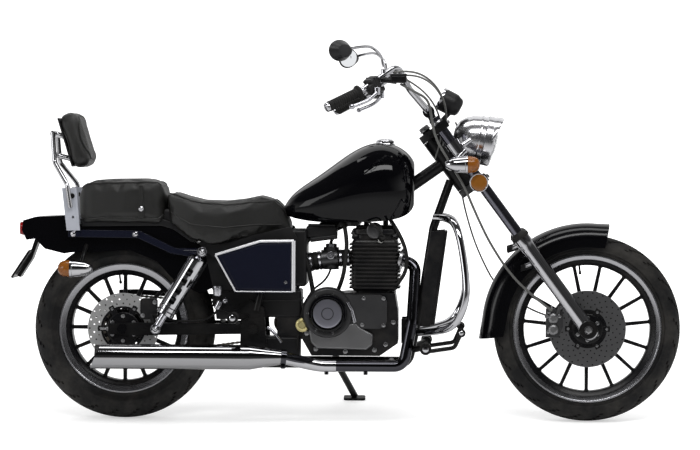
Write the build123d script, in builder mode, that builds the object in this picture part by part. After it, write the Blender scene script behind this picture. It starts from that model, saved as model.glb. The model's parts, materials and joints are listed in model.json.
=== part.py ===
"""Cruiser motorcycle, parked on its side stand, in millimetres.

Every piece is drawn with the machine upright: X runs forward from the middle of the wheelbase, Y to
the rider's left and Z up from the ground line. At the end the pieces lean over together, onto the
side stand's foot.
"""
import os
from math import atan2, cos, degrees, hypot, radians, sin, tan
from build123d import *

os.makedirs("parts", exist_ok=True)

RIGHT, LEFT = -1, 1
fit = 0.3                    # gap between seated pieces of one body
running = 0.05               # radial clearance of a shaft in its bore

# Stance
wheelbase = 1540
lean_angle = 9
origin_forward = -31         # where the row's origin stands, from mid wheelbase
origin_left = 190            # and from the ground line, to the left

# Tyres and wheels
front_radius, front_width, front_wall = 310, 90, 66
rear_radius, rear_width, rear_wall = 302, 110, 88
front_rim, rear_rim = front_radius - front_wall, rear_radius - rear_wall
front_spokes, rear_spokes = 15, 16
rim_depth = 26
spoke_width, spoke_thickness = 9, 20
front_hub_radius, rear_hub_radius = 46, 62
hub_half = 46
axle_radius = 9
disc_radius, disc_thickness = 127, 5
rear_disc_radius = 118
front_disc_side = 58         # inner face of the front disc, from the centre plane
rear_disc_side = 68
sprocket_radius, sprocket_side, sprocket_thickness = 92, 74, 8

# Fork and steering head
rake = 36.5
fork_offset = 45             # steering axis behind the fork tubes
fork_half = 102              # fork tube from the centre plane
stanchion_radius, slider_radius = 19, 27
head_radius, stem_radius = 33, 16
clamp_thickness = 26

# Handlebar
bar_radius = 11
bar_height = 891             # along the fork, over the axle
bar_bend = 45
bar_over_fork, fork_over_head, head_length = 29, 50, 194
fork_top = bar_height - bar_over_fork
head_top = fork_top - fork_over_head
head_bottom = head_top - head_length
slider_below_head = 233
slider_top = head_bottom - slider_below_head
riser_half = 52
grip_radius, grip_length = 17, 112

# Fenders
fender_gap, fender_wall = 24, 3
front_fender_half = 62
rear_fender_half = 96

# Frame
tube_radius = 14
backbone_radius = 21
cradle_half = 84
cradle_height = 190
pivot_x, pivot_z = -335, 305
swingarm_half = 96
arm_depth, arm_width = 42, 20

# Shock absorbers
shock_top = (-502, 560)
shock_foot_x = -655
shock_y = 142

# Engine
case_rear, case_front, case_bottom, case_top = -172, 143, 218, 426
case_half = 104
cylinder_rear, cylinder_front, cylinder_top = -20, 150, 652
cylinder_half = 92
fin_pitch, fin_thickness = 13, 5
clutch_x, clutch_z = -88, 359
clutch_radius, clutch_depth = 74, 42

# Chain
drive_x, drive_z, drive_radius = -236, 318, 42
chain_width, chain_depth = 14, 13
chain_y = sprocket_side + sprocket_thickness / 2

# Exhaust
header_radius = 19
muffler_radius, muffler_side, muffler_height = 41, 176, 216
muffler_front, muffler_rear = -232, -867

# Side stand
stand_pivot = (-70, 128, 184)
stand_reach = (60, 150)      # foot ahead of the pivot and outboard of it
stand_radius = 11
foot_length, foot_width, foot_thickness = 74, 46, 8

front_x, rear_x = wheelbase / 2, -wheelbase / 2
front_axle = (front_x, 0, front_radius)
rear_axle = (rear_x, 0, rear_radius)
rake_sin, rake_cos = sin(radians(rake)), cos(radians(rake))
fork_plane = Plane(origin=front_axle, x_dir=(rake_cos, 0, rake_sin), z_dir=(-rake_sin, 0, rake_cos))


def side_plane(x=0, z=0, y=0):
    """A plane facing right, so that a sketch on it is seen as from the machine's right side."""
    return Plane(origin=(x, y, z), x_dir=(1, 0, 0), z_dir=(0, -1, 0))


def on_fork(ahead, left, above):
    """A point given ahead of the fork tubes, to the left, and above the axle along them."""
    return fork_plane.from_local_coords(Vector(ahead, left, above))


def add_rod(start, end, radius, mode=Mode.ADD):
    """A round bar from point to point, in the open part."""
    start, end = Vector(start), Vector(end)
    with BuildSketch(Plane(origin=start, z_dir=end - start)) as section:
        Circle(radius)
    extrude(section.sketch, amount=(end - start).length, mode=mode)


def add_tube(points, radius, bend, mode=Mode.ADD):
    """A round tube along straight runs joined by arcs, in the open part."""
    with BuildLine() as route:
        FilletPolyline(*points, radius=bend)
    with BuildSketch(Plane(origin=route.line @ 0, z_dir=route.line % 0)) as section:
        Circle(radius)
    sweep(section.sketch, path=route.line, mode=mode)


def add_plate(points, plane, thickness, mode=Mode.ADD):
    """A flat plate of the given outline, centred on the plane, in the open part."""
    with BuildSketch(plane) as outline:
        with BuildLine():
            Polyline(*points, close=True)
        make_face()
    extrude(outline.sketch, amount=thickness / 2, both=True, mode=mode)


def mirrored(points):
    """A route across the machine: the given right half, then its mirror image."""
    return [(x, -y, z) for x, y, z in points] + [(x, y, z) for x, y, z in reversed(points)]


# ------------------------------------------------------------------------------------ wheels
def tyre_section(centre, radius, width, rim_radius):
    """Half-round crown over straight sidewalls, on the plane through the axle line."""
    bead = 0.36 * width
    with BuildSketch(Plane(origin=centre, x_dir=(0, 1, 0), z_dir=(1, 0, 0))) as section:
        with BuildLine():
            ThreePointArc((-width / 2, radius - width / 2), (0, radius), (width / 2, radius - width / 2))
            Polyline((width / 2, radius - width / 2), (bead, rim_radius), (-bead, rim_radius),
                     (-width / 2, radius - width / 2))
        make_face()
    revolve(section.sketch, axis=Axis(centre, (0, 1, 0)))


def cast_wheel(centre, rim_radius, width, hub_radius, spokes):
    """Channel rim, straight spokes and a hub bored for its axle."""
    edge = 0.40 * width
    lip = 7
    with BuildSketch(Plane(origin=centre, x_dir=(0, 1, 0), z_dir=(1, 0, 0))) as section:
        with BuildLine():
            Polyline((-edge, rim_radius - fit), (edge, rim_radius - fit), (edge, rim_radius - lip),
                     (edge / 2, rim_radius - rim_depth), (-edge / 2, rim_radius - rim_depth),
                     (-edge, rim_radius - lip), close=True)
        make_face()
        with Locations((0, hub_radius / 2)):
            Rectangle(2 * hub_half, hub_radius)
    revolve(section.sketch, axis=Axis(centre, (0, 1, 0)))
    spoke_end = rim_radius - rim_depth + 3
    with BuildSketch(side_plane(centre[0], centre[2])) as star:
        with PolarLocations((hub_radius + spoke_end) / 2 - 2, spokes, start_angle=-90):
            Rectangle(spoke_end - hub_radius + 4, spoke_width)
    extrude(star.sketch, amount=spoke_thickness / 2, both=True)
    with BuildSketch(side_plane(centre[0], centre[2])) as bore:
        Circle(axle_radius + running)
    extrude(bore.sketch, amount=2 * hub_half, both=True, mode=Mode.SUBTRACT)


def brake_disc(centre, radius, hub_radius, inner_face, side):
    """A flat disc bolted against the end of the hub, with a spider of windows."""
    thickness = disc_thickness
    middle = side * (inner_face + thickness / 2)
    with BuildSketch(side_plane(centre[0], centre[2], middle)) as face:
        Circle(radius)
        Circle(hub_radius * 0.55, mode=Mode.SUBTRACT)
        with PolarLocations(radius * 0.64, 6):
            SlotOverall(radius * 0.30, radius * 0.20, rotation=90, mode=Mode.SUBTRACT)
    extrude(face.sketch, amount=thickness / 2, both=True)
    spacer = inner_face - hub_half - fit
    with BuildSketch(side_plane(centre[0], centre[2], side * (hub_half + fit + spacer / 2))) as ring:
        Circle(hub_radius * 0.85)
        Circle(hub_radius * 0.55, mode=Mode.SUBTRACT)
    extrude(ring.sketch, amount=spacer / 2, both=True)


with BuildPart() as front_tyre:
    tyre_section(front_axle, front_radius, front_width, front_rim)

with BuildPart() as rear_tyre:
    tyre_section(rear_axle, rear_radius, rear_width, rear_rim)

with BuildPart() as front_rim_and_hub:
    cast_wheel(front_axle, front_rim, front_width, front_hub_radius, front_spokes)

with BuildPart() as rear_rim_and_hub:
    cast_wheel(rear_axle, rear_rim, rear_width, rear_hub_radius, rear_spokes)

with BuildPart() as front_disc:
    brake_disc(front_axle, disc_radius, front_hub_radius, front_disc_side, RIGHT)

with BuildPart() as rear_disc:
    brake_disc(rear_axle, rear_disc_radius, rear_hub_radius, rear_disc_side, RIGHT)

with BuildPart() as rear_sprocket:
    middle = sprocket_side + sprocket_thickness / 2
    with BuildSketch(side_plane(rear_x, rear_radius, middle)):
        Circle(sprocket_radius)
        Circle(rear_hub_radius * 0.5, mode=Mode.SUBTRACT)
        with PolarLocations(sprocket_radius * 0.7, 6):
            Circle(sprocket_radius * 0.13, mode=Mode.SUBTRACT)
    extrude(amount=sprocket_thickness / 2, both=True)
    carrier = sprocket_side - hub_half - fit
    with BuildSketch(side_plane(rear_x, rear_radius, hub_half + fit + carrier / 2)):
        Circle(rear_hub_radius * 0.9)
        Circle(rear_hub_radius * 0.5, mode=Mode.SUBTRACT)
    extrude(amount=carrier / 2, both=True)

# -------------------------------------------------------------------------------- front end
axle_out = fork_half + slider_radius + 8
with BuildPart() as front_spindle:
    add_rod((front_x, -axle_out, front_radius), (front_x, axle_out, front_radius), axle_radius)
    for side in (RIGHT, LEFT):
        spacer_start, spacer_end = hub_half + fit, fork_half - slider_radius - fit
        with BuildSketch(side_plane(front_x, front_radius, side * (spacer_start + spacer_end) / 2)):
            Circle(axle_radius + 5)
        extrude(amount=(spacer_end - spacer_start) / 2, both=True)
        with BuildSketch(side_plane(front_x, front_radius, side * (axle_out - 3))):
            RegularPolygon(14, 6)
        extrude(amount=3, both=True)

with BuildPart() as fork_sliders:
    for side in (RIGHT, LEFT):
        add_rod(on_fork(0, side * fork_half, -38), on_fork(0, side * fork_half, slider_top), slider_radius)
        add_rod(on_fork(0, side * fork_half, slider_top - 22), on_fork(0, side * fork_half, slider_top),
                slider_radius + 3)
        add_rod(on_fork(0, side * fork_half, slider_top - 60), on_fork(0, side * fork_half, slider_top + 1),
                stanchion_radius + running, mode=Mode.SUBTRACT)
    add_rod((front_x, -axle_out, front_radius), (front_x, axle_out, front_radius), axle_radius + running,
            mode=Mode.SUBTRACT)

with BuildPart() as fork_tubes:
    for side in (RIGHT, LEFT):
        add_rod(on_fork(0, side * fork_half, slider_top - 60 + fit), on_fork(0, side * fork_half, fork_top),
                stanchion_radius)

clamp_heights = (head_bottom - clamp_thickness - 1, head_top + 1)
with BuildPart() as steering_clamps:
    for height in clamp_heights:
        with BuildSketch(fork_plane.offset(height)):
            with BuildLine():
                Polyline((-fork_offset - head_radius, -26), (-fork_offset - head_radius, 26),
                         (-stanchion_radius, fork_half + stanchion_radius + 12),
                         (stanchion_radius + 10, fork_half + stanchion_radius + 12),
                         (stanchion_radius + 10, fork_half - 30), (-6, 26), (-6, -26),
                         (stanchion_radius + 10, -fork_half + 30),
                         (stanchion_radius + 10, -fork_half - stanchion_radius - 12),
                         (-stanchion_radius, -fork_half - stanchion_radius - 12), close=True)
            make_face()
            with Locations((0, -fork_half), (0, fork_half)):
                Circle(stanchion_radius + fit, mode=Mode.SUBTRACT)
        extrude(amount=clamp_thickness)
    add_rod(on_fork(-fork_offset, 0, clamp_heights[0]), on_fork(-fork_offset, 0, head_top + 10), stem_radius)
    for side in (RIGHT, LEFT):
        foot = on_fork(-8, side * riser_half, head_top + clamp_thickness + 1)
        add_rod(foot, on_fork(0, side * riser_half, bar_height - bar_radius - fit), 13)
        add_rod(on_fork(0, side * riser_half - 16, bar_height), on_fork(0, side * riser_half + 16, bar_height),
                bar_radius + 9)
        add_rod(on_fork(0, side * riser_half - 16, bar_height), on_fork(0, side * riser_half + 16, bar_height),
                bar_radius + running, mode=Mode.SUBTRACT)
    add_rod(on_fork(-fork_offset, 0, head_top + clamp_thickness), on_fork(-fork_offset, 0, head_top + 40), 15)

bar_clamp = on_fork(0, 0, bar_height)
bar_shape = [                # forward of the clamp, outboard, above the clamp: from the bar's end to its clamp
    (-306, 398, 16),
    (-208, 336, 66),
    (-102, 236, 146),
    (-64, 148, 74),
    (0, 96, 0),
]
bar_rise = [(bar_clamp.X + ahead, out, bar_clamp.Z + above) for ahead, out, above in bar_shape]
with BuildPart() as handlebar:
    add_tube(mirrored(bar_rise), bar_radius, bar_bend)

grip_end, grip_bend = Vector(*bar_rise[0]), Vector(*bar_rise[1])
grip_way = (grip_bend - grip_end).normalized()


def along_bar(distance, side):
    """A point on the straight end of the bar, from its tip towards the bend."""
    point = grip_end + grip_way * distance
    return Vector(point.X, side * point.Y, point.Z)


with BuildPart() as grips:
    for side in (RIGHT, LEFT):
        add_rod(along_bar(-16, side), along_bar(grip_length, side), grip_radius)
        add_rod(along_bar(-26, side), along_bar(-14, side), grip_radius - 3)
        add_rod(along_bar(-fit, side), along_bar(grip_length + 1, side), bar_radius + running,
                mode=Mode.SUBTRACT)

lever_drop = Vector(34, 6, -12)
with BuildPart() as bar_controls:
    for side in (RIGHT, LEFT):
        shift = Vector(lever_drop.X, side * lever_drop.Y, lever_drop.Z)
        add_rod(along_bar(grip_length + fit, side), along_bar(grip_length + 2.2, side), grip_radius + 3)
        perch_start = Vector(bar_rise[1][0], side * bar_rise[1][1], bar_rise[1][2])
        bar_way = (Vector(*bar_rise[2]) - Vector(*bar_rise[1])).normalized()
        bar_way = Vector(bar_way.X, side * bar_way.Y, bar_way.Z)
        housing_start = perch_start + bar_way * 26
        housing_end = perch_start + bar_way * 62
        add_rod(housing_start, housing_end, grip_radius + 4)
        pivot = housing_start + shift
        add_rod(housing_start + shift * 0.4, pivot, 9)
        add_rod(pivot - Vector(0, 0, 8), pivot + Vector(0, 0, 8), 10)
        add_rod(pivot, along_bar(30, side) + shift * 1.25, 5.5)
        add_rod(along_bar(26, side) + shift * 1.25, along_bar(34, side) + shift * 1.25, 9)
        add_rod(housing_start - bar_way * 2, housing_end + bar_way * 2, bar_radius + running,
                mode=Mode.SUBTRACT)
    reservoir = Vector(bar_rise[1][0], -bar_rise[1][1], bar_rise[1][2]) + Vector(112, 34, 22)
    with BuildSketch(Plane.XY.offset(reservoir.Z)):
        with Locations((reservoir.X, reservoir.Y)):
            RectangleRounded(50, 36, 8)
    extrude(amount=30)
    add_rod(reservoir + Vector(0, 0, 8), reservoir + Vector(-70, 6, 10), 8)
    add(handlebar.part, mode=Mode.SUBTRACT)

mirror_root = Vector(bar_rise[1]) * 0.40 + Vector(bar_rise[2]) * 0.60
mirror_centre = (mirror_root.X - 140, mirror_root.Y + 122, mirror_root.Z + 76)
with BuildPart() as mirrors:
    for side in (RIGHT, LEFT):
        root = Vector(mirror_root.X, side * mirror_root.Y, mirror_root.Z)
        lift = Vector(0, 0, bar_radius + fit)
        add_tube([root + lift, (root.X - 4, root.Y, root.Z + 66), (root.X - 34, root.Y + side * 54, root.Z + 92),
                  (mirror_centre[0] + 22, side * (mirror_centre[1] - 14), mirror_centre[2] + 6)], 5, 14)
        head_plane = Plane(origin=(mirror_centre[0], side * mirror_centre[1], mirror_centre[2]),
                           x_dir=(0.55, -side * 0.84, 0.05), z_dir=(0.84, side * 0.55, 0))
        with BuildSketch(head_plane):
            Ellipse(62, 36)
        with BuildSketch(head_plane.offset(26)):
            Ellipse(40, 22)
        loft()
    add(handlebar.part, mode=Mode.SUBTRACT)

lamp_centre, lamp_radius = on_fork(71, 0, head_bottom + 113), 82
lamp_x, lamp_z = lamp_centre.X, lamp_centre.Z
lamp_tip = 12                # the bezel's top leans forward by this angle
lamp_plane = Plane(origin=(lamp_x, 0, lamp_z), x_dir=(cos(radians(lamp_tip)), 0, -sin(radians(lamp_tip))),
                   z_dir=(0, -1, 0))
with BuildPart() as headlight:
    with BuildSketch(lamp_plane):
        with BuildLine():
            Line((-68, 0), (-68, 26))
            ThreePointArc((-68, 26), (-34, 66), (30, lamp_radius - 4))
            Polyline((30, lamp_radius - 4), (30, lamp_radius), (66, lamp_radius), (66, lamp_radius - 12))
            ThreePointArc((66, lamp_radius - 12), (77, 36), (80, 10))
            Polyline((80, 10), (80, 0), (-68, 0))
        make_face()
    revolve(axis=Axis((lamp_x, 0, lamp_z), (cos(radians(lamp_tip)), 0, -sin(radians(lamp_tip)))))
    with BuildSketch(Plane(origin=(lamp_x, 0, lamp_z), x_dir=(0, 1, 0),
                           z_dir=(cos(radians(lamp_tip)), 0, -sin(radians(lamp_tip)))).offset(50)):
        Circle(lamp_radius + 2)
        Circle(lamp_radius - 2, mode=Mode.SUBTRACT)
        with Locations((0, -lamp_radius)):
            Rectangle(3 * lamp_radius, 2.2 * lamp_radius, mode=Mode.SUBTRACT)
    extrude(amount=44)

signal_centre = on_fork(-62, 158, head_bottom + 102)
signal_front = (signal_centre.X, signal_centre.Y, signal_centre.Z)
sleeve_low, sleeve_high = head_bottom + 87, head_bottom + 147
with BuildPart() as lamp_brackets:
    for side in (RIGHT, LEFT):
        add_rod(on_fork(0, side * fork_half, sleeve_low), on_fork(0, side * fork_half, sleeve_high),
                stanchion_radius + 6)
        add_rod(on_fork(0, side * fork_half, sleeve_low - 1), on_fork(0, side * fork_half, sleeve_high + 1),
                stanchion_radius + fit, mode=Mode.SUBTRACT)
        ear_start = on_fork(stanchion_radius + 4, side * fork_half, (sleeve_low + sleeve_high) / 2)
        add_rod(ear_start, (lamp_x - 4, side * (lamp_radius + 6), lamp_z), 9)
        add_rod((lamp_x - 4, side * (lamp_radius + 12), lamp_z), (lamp_x - 4, side * (lamp_radius - 6), lamp_z), 11)
        stalk = on_fork(stanchion_radius + 3, side * (fork_half + 8), sleeve_low + 10)
        add_rod(stalk, (signal_front[0] + 26, side * (signal_front[1] - 6), signal_front[2] - 2), 8)
    add(headlight.part, mode=Mode.SUBTRACT)
    add(fork_tubes.part, mode=Mode.SUBTRACT)

reflector_radius = 30
with BuildPart() as front_signals:
    for side in (RIGHT, LEFT):
        with BuildSketch(side_plane(signal_front[0], signal_front[2], side * signal_front[1])):
            with BuildLine():
                Polyline((6, 0), (6, 12), (30, 24), (76, 28), (106, 27), (116, 16), (119, 0), close=True)
            make_face()
        revolve(axis=Axis((signal_front[0], side * signal_front[1], signal_front[2]), (1, 0, 0)))
    add(lamp_brackets.part, mode=Mode.SUBTRACT)

clamp_edge = fork_half + stanchion_radius + 12
with BuildPart() as fork_reflectors:
    for side in (RIGHT, LEFT):
        centre = on_fork(-4, side * (clamp_edge + fit), clamp_heights[0] + clamp_thickness / 2)
        add_rod(centre, centre + Vector(0, side * 12, 0), reflector_radius)

gauge_centre, gauge_radius, gauge_depth = on_fork(75, 0, head_top + 59), 38, 78
gauge_x, gauge_z = gauge_centre.X, gauge_centre.Z
gauge_tip = 27
gauge_way = Vector(-sin(radians(90 - gauge_tip)), 0, cos(radians(90 - gauge_tip)))
with BuildPart() as speedometer:
    gauge_plane = Plane(origin=(gauge_x, 0, gauge_z), z_dir=gauge_way)
    with BuildSketch(gauge_plane.offset(-gauge_depth / 2)):
        Circle(gauge_radius - 8)
    extrude(amount=20)
    with BuildSketch(gauge_plane.offset(-gauge_depth / 2 + 20)):
        Circle(gauge_radius)
    extrude(amount=gauge_depth - 20)
    add_rod((gauge_x - 4, 0, gauge_z - gauge_radius + 4), on_fork(-18, 0, head_top + clamp_thickness - 6), 8)
    add(steering_clamps.part, mode=Mode.SUBTRACT)

front_cover_inner = front_radius + fender_gap
with BuildPart() as front_fender:
    start, end = 78, 186
    wall_out, wall_in = front_cover_inner + fender_wall, front_cover_inner
    skirt = front_radius - 42
    section_plane = Plane(origin=front_axle, x_dir=(0, 1, 0),
                          z_dir=(-sin(radians(start)), 0, cos(radians(start))))
    up_local = section_plane.to_local_coords(Vector(front_axle) + Vector(cos(radians(start)), 0, sin(radians(start)))).Y
    flip = 1 if up_local > 0 else -1
    half = front_fender_half
    with BuildSketch(section_plane):
        with BuildLine():
            Line((-half, flip * skirt), (-half, flip * (wall_out - 40)))
            ThreePointArc((-half, flip * (wall_out - 40)), (0, flip * (wall_out + 12)), (half, flip * (wall_out - 40)))
            Line((half, flip * (wall_out - 40)), (half, flip * skirt))
            Line((half, flip * skirt), (half - fender_wall, flip * skirt))
            Line((half - fender_wall, flip * skirt), (half - fender_wall, flip * (wall_out - 40)))
            ThreePointArc((half - fender_wall, flip * (wall_out - 40)), (0, flip * (wall_out + 12 - fender_wall)),
                          (-half + fender_wall, flip * (wall_out - 40)))
            Line((-half + fender_wall, flip * (wall_out - 40)), (-half + fender_wall, flip * skirt))
            Line((-half + fender_wall, flip * skirt), (-half, flip * skirt))
        make_face()
    revolve(axis=Axis(front_axle, (0, -1, 0)), revolution_arc=end - start)
    for side in (RIGHT, LEFT):
        for height in (slider_top - 30, slider_top - 105):
            root = on_fork(-slider_radius + 4, side * fork_half, height)
            add_rod(root, (root.X - 20, side * (front_fender_half - 2), root.Z + 4), 7)
    add(fork_sliders.part, mode=Mode.SUBTRACT)
    add(fork_tubes.part, mode=Mode.SUBTRACT)


calliper_reach, calliper_height = 112, 18
with BuildPart() as front_calliper:
    plane = side_plane(front_x - calliper_reach, front_radius + calliper_height,
                       -(front_disc_side + disc_thickness / 2))
    with BuildSketch(plane) as body:
        with BuildLine():
            Polyline((-26, -46), (16, -46), (30, -10), (30, 30), (10, 48), (-26, 48), close=True)
        make_face()
    extrude(amount=19, both=True)
    with BuildSketch(side_plane(front_x, front_radius, -(front_disc_side + disc_thickness / 2))):
        Circle(disc_radius + 3)
    extrude(amount=disc_thickness / 2 + 1.5, both=True, mode=Mode.SUBTRACT)
    add_rod((front_x - calliper_reach + 20, -front_disc_side - 18, front_radius + 70),
            (front_x - calliper_reach + 50, -fork_half + 8, front_radius + 92), 9)
    add_rod((front_x - calliper_reach + 20, -front_disc_side - 18, front_radius + 74),
            (front_x - calliper_reach + 12, -front_disc_side - 18, front_radius + 40), 9)
    add(fork_sliders.part, mode=Mode.SUBTRACT)

# -------------------------------------------------------------------------------------- frame
head_low, head_high = on_fork(-fork_offset, 0, head_bottom), on_fork(-fork_offset, 0, head_top)
head_mid = (head_low + head_high) * 0.5
spine_route = [head_mid - Vector(20, 0, 4), (110, 0, 728), (-120, 0, 624), (-300, 0, 572)]
spine_bend = 120
down_foot = (178, cradle_half, cradle_height)
with BuildPart() as frame_spine:
    add_rod(head_low, head_high, head_radius)
    add_tube(spine_route, backbone_radius, spine_bend)
    add_rod(on_fork(-fork_offset, 0, head_bottom - 1), on_fork(-fork_offset, 0, head_top + 1),
            stem_radius + running, mode=Mode.SUBTRACT)
    for side in (RIGHT, LEFT):
        add_tube([(-250, side * 8, 584), (-330, side * 78, 574), (-600, side * 84, 576), (-930, side * 84, 604)],
                 tube_radius - 2, 60)



def cradle_route(side):
    """One side of the cradle: down from the head, then back under the engine to the pivot."""
    return [on_fork(-fork_offset - head_radius, side * 16, head_bottom + 45), (258, side * 52, 640), (226, side * 64, 430),
            (down_foot[0], side * cradle_half, cradle_height),
            (pivot_x - 10, side * cradle_half, cradle_height)]


with BuildPart() as frame_cradle:
    for side in (RIGHT, LEFT):
        add_tube(cradle_route(side), tube_radius, 40)
    add(frame_spine.part, mode=Mode.SUBTRACT)
    for x in (120, -235):
        add_rod((x, -cradle_half, cradle_height), (x, cradle_half, cradle_height), tube_radius - 3)

pivot_out = swingarm_half + arm_width / 2 + 2
with BuildPart() as frame_rear_posts:
    for side in (RIGHT, LEFT):
        add_plate([(-44, -128), (30, -128), (46, -60), (36, 70), (-10, 96), (-40, 60)],
                  side_plane(pivot_x, pivot_z, side * (pivot_out + 5)), 9)
        add_tube([(pivot_x + 10, side * (pivot_out + 5), pivot_z + 60), (-300, side * (pivot_out - 2), 470),
                  (-330, side * 82, 570)], tube_radius - 2, 50)
        add_rod((pivot_x, side * (pivot_out + 8), pivot_z), (pivot_x, side * (pivot_out + 20), pivot_z), 16)
    add(frame_cradle.part, mode=Mode.SUBTRACT)
    add(frame_spine.part, mode=Mode.SUBTRACT)

with BuildPart() as swingarm:
    arm_reach = pivot_x - rear_x
    axle_rise = rear_radius - pivot_z
    for side in (RIGHT, LEFT):
        add_plate([(26, -16), (26, 16), (-arm_reach + 40, axle_rise + arm_depth / 2), (-arm_reach - 46, axle_rise + 17),
                   (-arm_reach - 46, axle_rise - 17), (-arm_reach + 40, axle_rise - arm_depth / 2)],
                  side_plane(pivot_x, pivot_z, side * swingarm_half), arm_width)
        add_rod((shock_foot_x, side * (swingarm_half + arm_width / 2 - 1), pivot_z),
                (shock_foot_x, side * (swingarm_half + arm_width / 2 + 12), pivot_z), 12)
    add_rod((pivot_x, -pivot_out + fit, pivot_z), (pivot_x, pivot_out - fit, pivot_z), 24)
    add_rod((pivot_x - 66, -swingarm_half, pivot_z), (pivot_x - 66, swingarm_half, pivot_z), 15)
    add_rod((rear_x, -swingarm_half * 2, rear_radius), (rear_x, swingarm_half * 2, rear_radius),
            axle_radius + running, mode=Mode.SUBTRACT)

rear_axle_out = swingarm_half + arm_width / 2 + 10
with BuildPart() as rear_spindle:
    add_rod((rear_x, -rear_axle_out, rear_radius), (rear_x, rear_axle_out, rear_radius), axle_radius)
    inner = swingarm_half - arm_width / 2 - fit
    for side in (RIGHT, LEFT):
        outer_face = rear_axle_out - 9
        with BuildSketch(side_plane(rear_x, rear_radius, side * (outer_face + 4.5))):
            RegularPolygon(17, 6)
        extrude(amount=4.5, both=True)
        with BuildSketch(side_plane(rear_x, rear_radius, side * (hub_half + fit + inner) / 2)):
            Circle(axle_radius + 4)
        extrude(amount=(inner - hub_half - fit) / 2, both=True)

with BuildPart() as shock_absorbers:
    for side in (RIGHT, LEFT):
        top = Vector(shock_top[0], side * shock_y, shock_top[1])
        bottom = Vector(shock_foot_x, side * shock_y, pivot_z)
        way = (top - bottom).normalized()
        length = (top - bottom).length
        add_rod(bottom + way * 14, bottom + way * 60, 13)
        add_rod(bottom + way * 55, bottom + way * (length * 0.52), 25)
        add_rod(bottom + way * (length * 0.50), top - way * 22, 31)
        add_rod(top - way * 24, top - way * 6, 15)
        for eye in (top, bottom):
            add_rod(eye - Vector(0, 12, 0), eye + Vector(0, 12, 0), 17)
            add_rod(eye - Vector(0, 16, 0), eye + Vector(0, 16, 0), 8)

# ------------------------------------------------------------------------------------- engine
with BuildPart() as crankcase:
    with BuildSketch(side_plane()):
        with BuildLine():
            Polyline((case_rear, 270), (case_rear + 30, case_bottom), (case_front - 60, case_bottom),
                     (case_front, 260), (case_front, 366), (case_front - 10, case_top), (cylinder_rear - 10, case_top),
                     (case_rear + 20, 408), (case_rear, 390), close=True)
        make_face()
    extrude(amount=case_half, both=True)
    boss_left = chain_y - chain_width / 2 - fit
    with BuildSketch(Plane.XZ.offset(-boss_left)):
        with Locations(((case_rear + drive_x) / 2 - 10, drive_z)):
            Rectangle(case_rear - drive_x + 24, 96)
    extrude(amount=boss_left + 70)

with BuildPart() as clutch_cover:
    with BuildSketch(side_plane(clutch_x, clutch_z, -case_half)):
        Circle(clutch_radius)
        with Locations((110, 6)):
            RectangleRounded(170, 112, 30)
    extrude(amount=18)
    with BuildSketch(side_plane(clutch_x, clutch_z, -case_half - 18)):
        Circle(60)
    extrude(amount=clutch_depth - 18)
    with BuildSketch(side_plane(clutch_x, clutch_z, -case_half - clutch_depth)):
        Circle(48)
    extrude(amount=5)

with BuildPart() as generator_cover:
    with BuildSketch(side_plane(60, 346, case_half)):
        Circle(76)
        with Locations((-130, 0)):
            RectangleRounded(170, 120, 30)
    extrude(amount=-20)
    with BuildSketch(side_plane(60, 346, case_half + 20)):
        Circle(62)
    extrude(amount=-22)

fin_count = int((cylinder_top - case_top - 60) / fin_pitch)
cylinder_mid = (cylinder_rear + cylinder_front) / 2
with BuildPart() as cylinders:
    with BuildSketch(Plane.XY.offset(case_top)):
        with Locations((cylinder_mid, 0)):
            RectangleRounded(124, 2 * cylinder_half - 36, 22)
    extrude(amount=cylinder_top - case_top - 34)
    for fin in range(fin_count):
        with BuildSketch(Plane.XY.offset(case_top + 14 + fin * fin_pitch)):
            with Locations((cylinder_mid, 0)):
                RectangleRounded(cylinder_front - cylinder_rear, 2 * cylinder_half, 26)
        extrude(amount=fin_thickness)

with BuildPart() as head_cover:
    with BuildSketch(Plane.XY.offset(cylinder_top - 34)):
        with Locations((cylinder_mid, 0)):
            RectangleRounded(cylinder_front - cylinder_rear - 26, 2 * cylinder_half - 20, 24)
    extrude(amount=20)
    with BuildSketch(Plane.XY.offset(cylinder_top - 14)):
        with Locations((cylinder_mid, 0)):
            RectangleRounded(cylinder_front - cylinder_rear - 44, 2 * cylinder_half - 50, 20)
    extrude(amount=10)
    add_tube(spine_route, backbone_radius + fit, spine_bend, mode=Mode.SUBTRACT)

with BuildPart() as engine_mounts:
    for x in (cylinder_mid - 30, cylinder_mid + 34):
        add_rod((x, 0, cylinder_top - 4), (x, 0, 690), 9)
    for side in (RIGHT, LEFT):
        add_plate([(-24, -40), (24, -40), (10, 40), (-24, 40)], side_plane(178, 300, side * 70), 8)
    add(frame_spine.part, mode=Mode.SUBTRACT)
    add(frame_cradle.part, mode=Mode.SUBTRACT)
    add(head_cover.part, mode=Mode.SUBTRACT)
    add(crankcase.part, mode=Mode.SUBTRACT)

with BuildPart() as carburettor:
    add_rod((cylinder_rear + 16, 0, 540), (cylinder_rear - 40, 0, 538), 24)
    add_rod((cylinder_rear - 40, 0, 538), (cylinder_rear - 92, 0, 532), 33)
    add_rod((cylinder_rear - 62, 0, 500), (cylinder_rear - 62, 0, 574), 26)
    add_rod((cylinder_rear - 92, 0, 532), (-180, 0, 520), 27)
    add(cylinders.part, mode=Mode.SUBTRACT)

with BuildPart() as radiator_panel:
    panel = [(288, 632), (252, 628), (214, 322), (246, 318)]
    add_plate([(x + 18, z) for x, z in panel], side_plane(), 150)
    for side in (RIGHT, LEFT):
        add_tube(cradle_route(side), tube_radius + fit, 40, mode=Mode.SUBTRACT)

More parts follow.
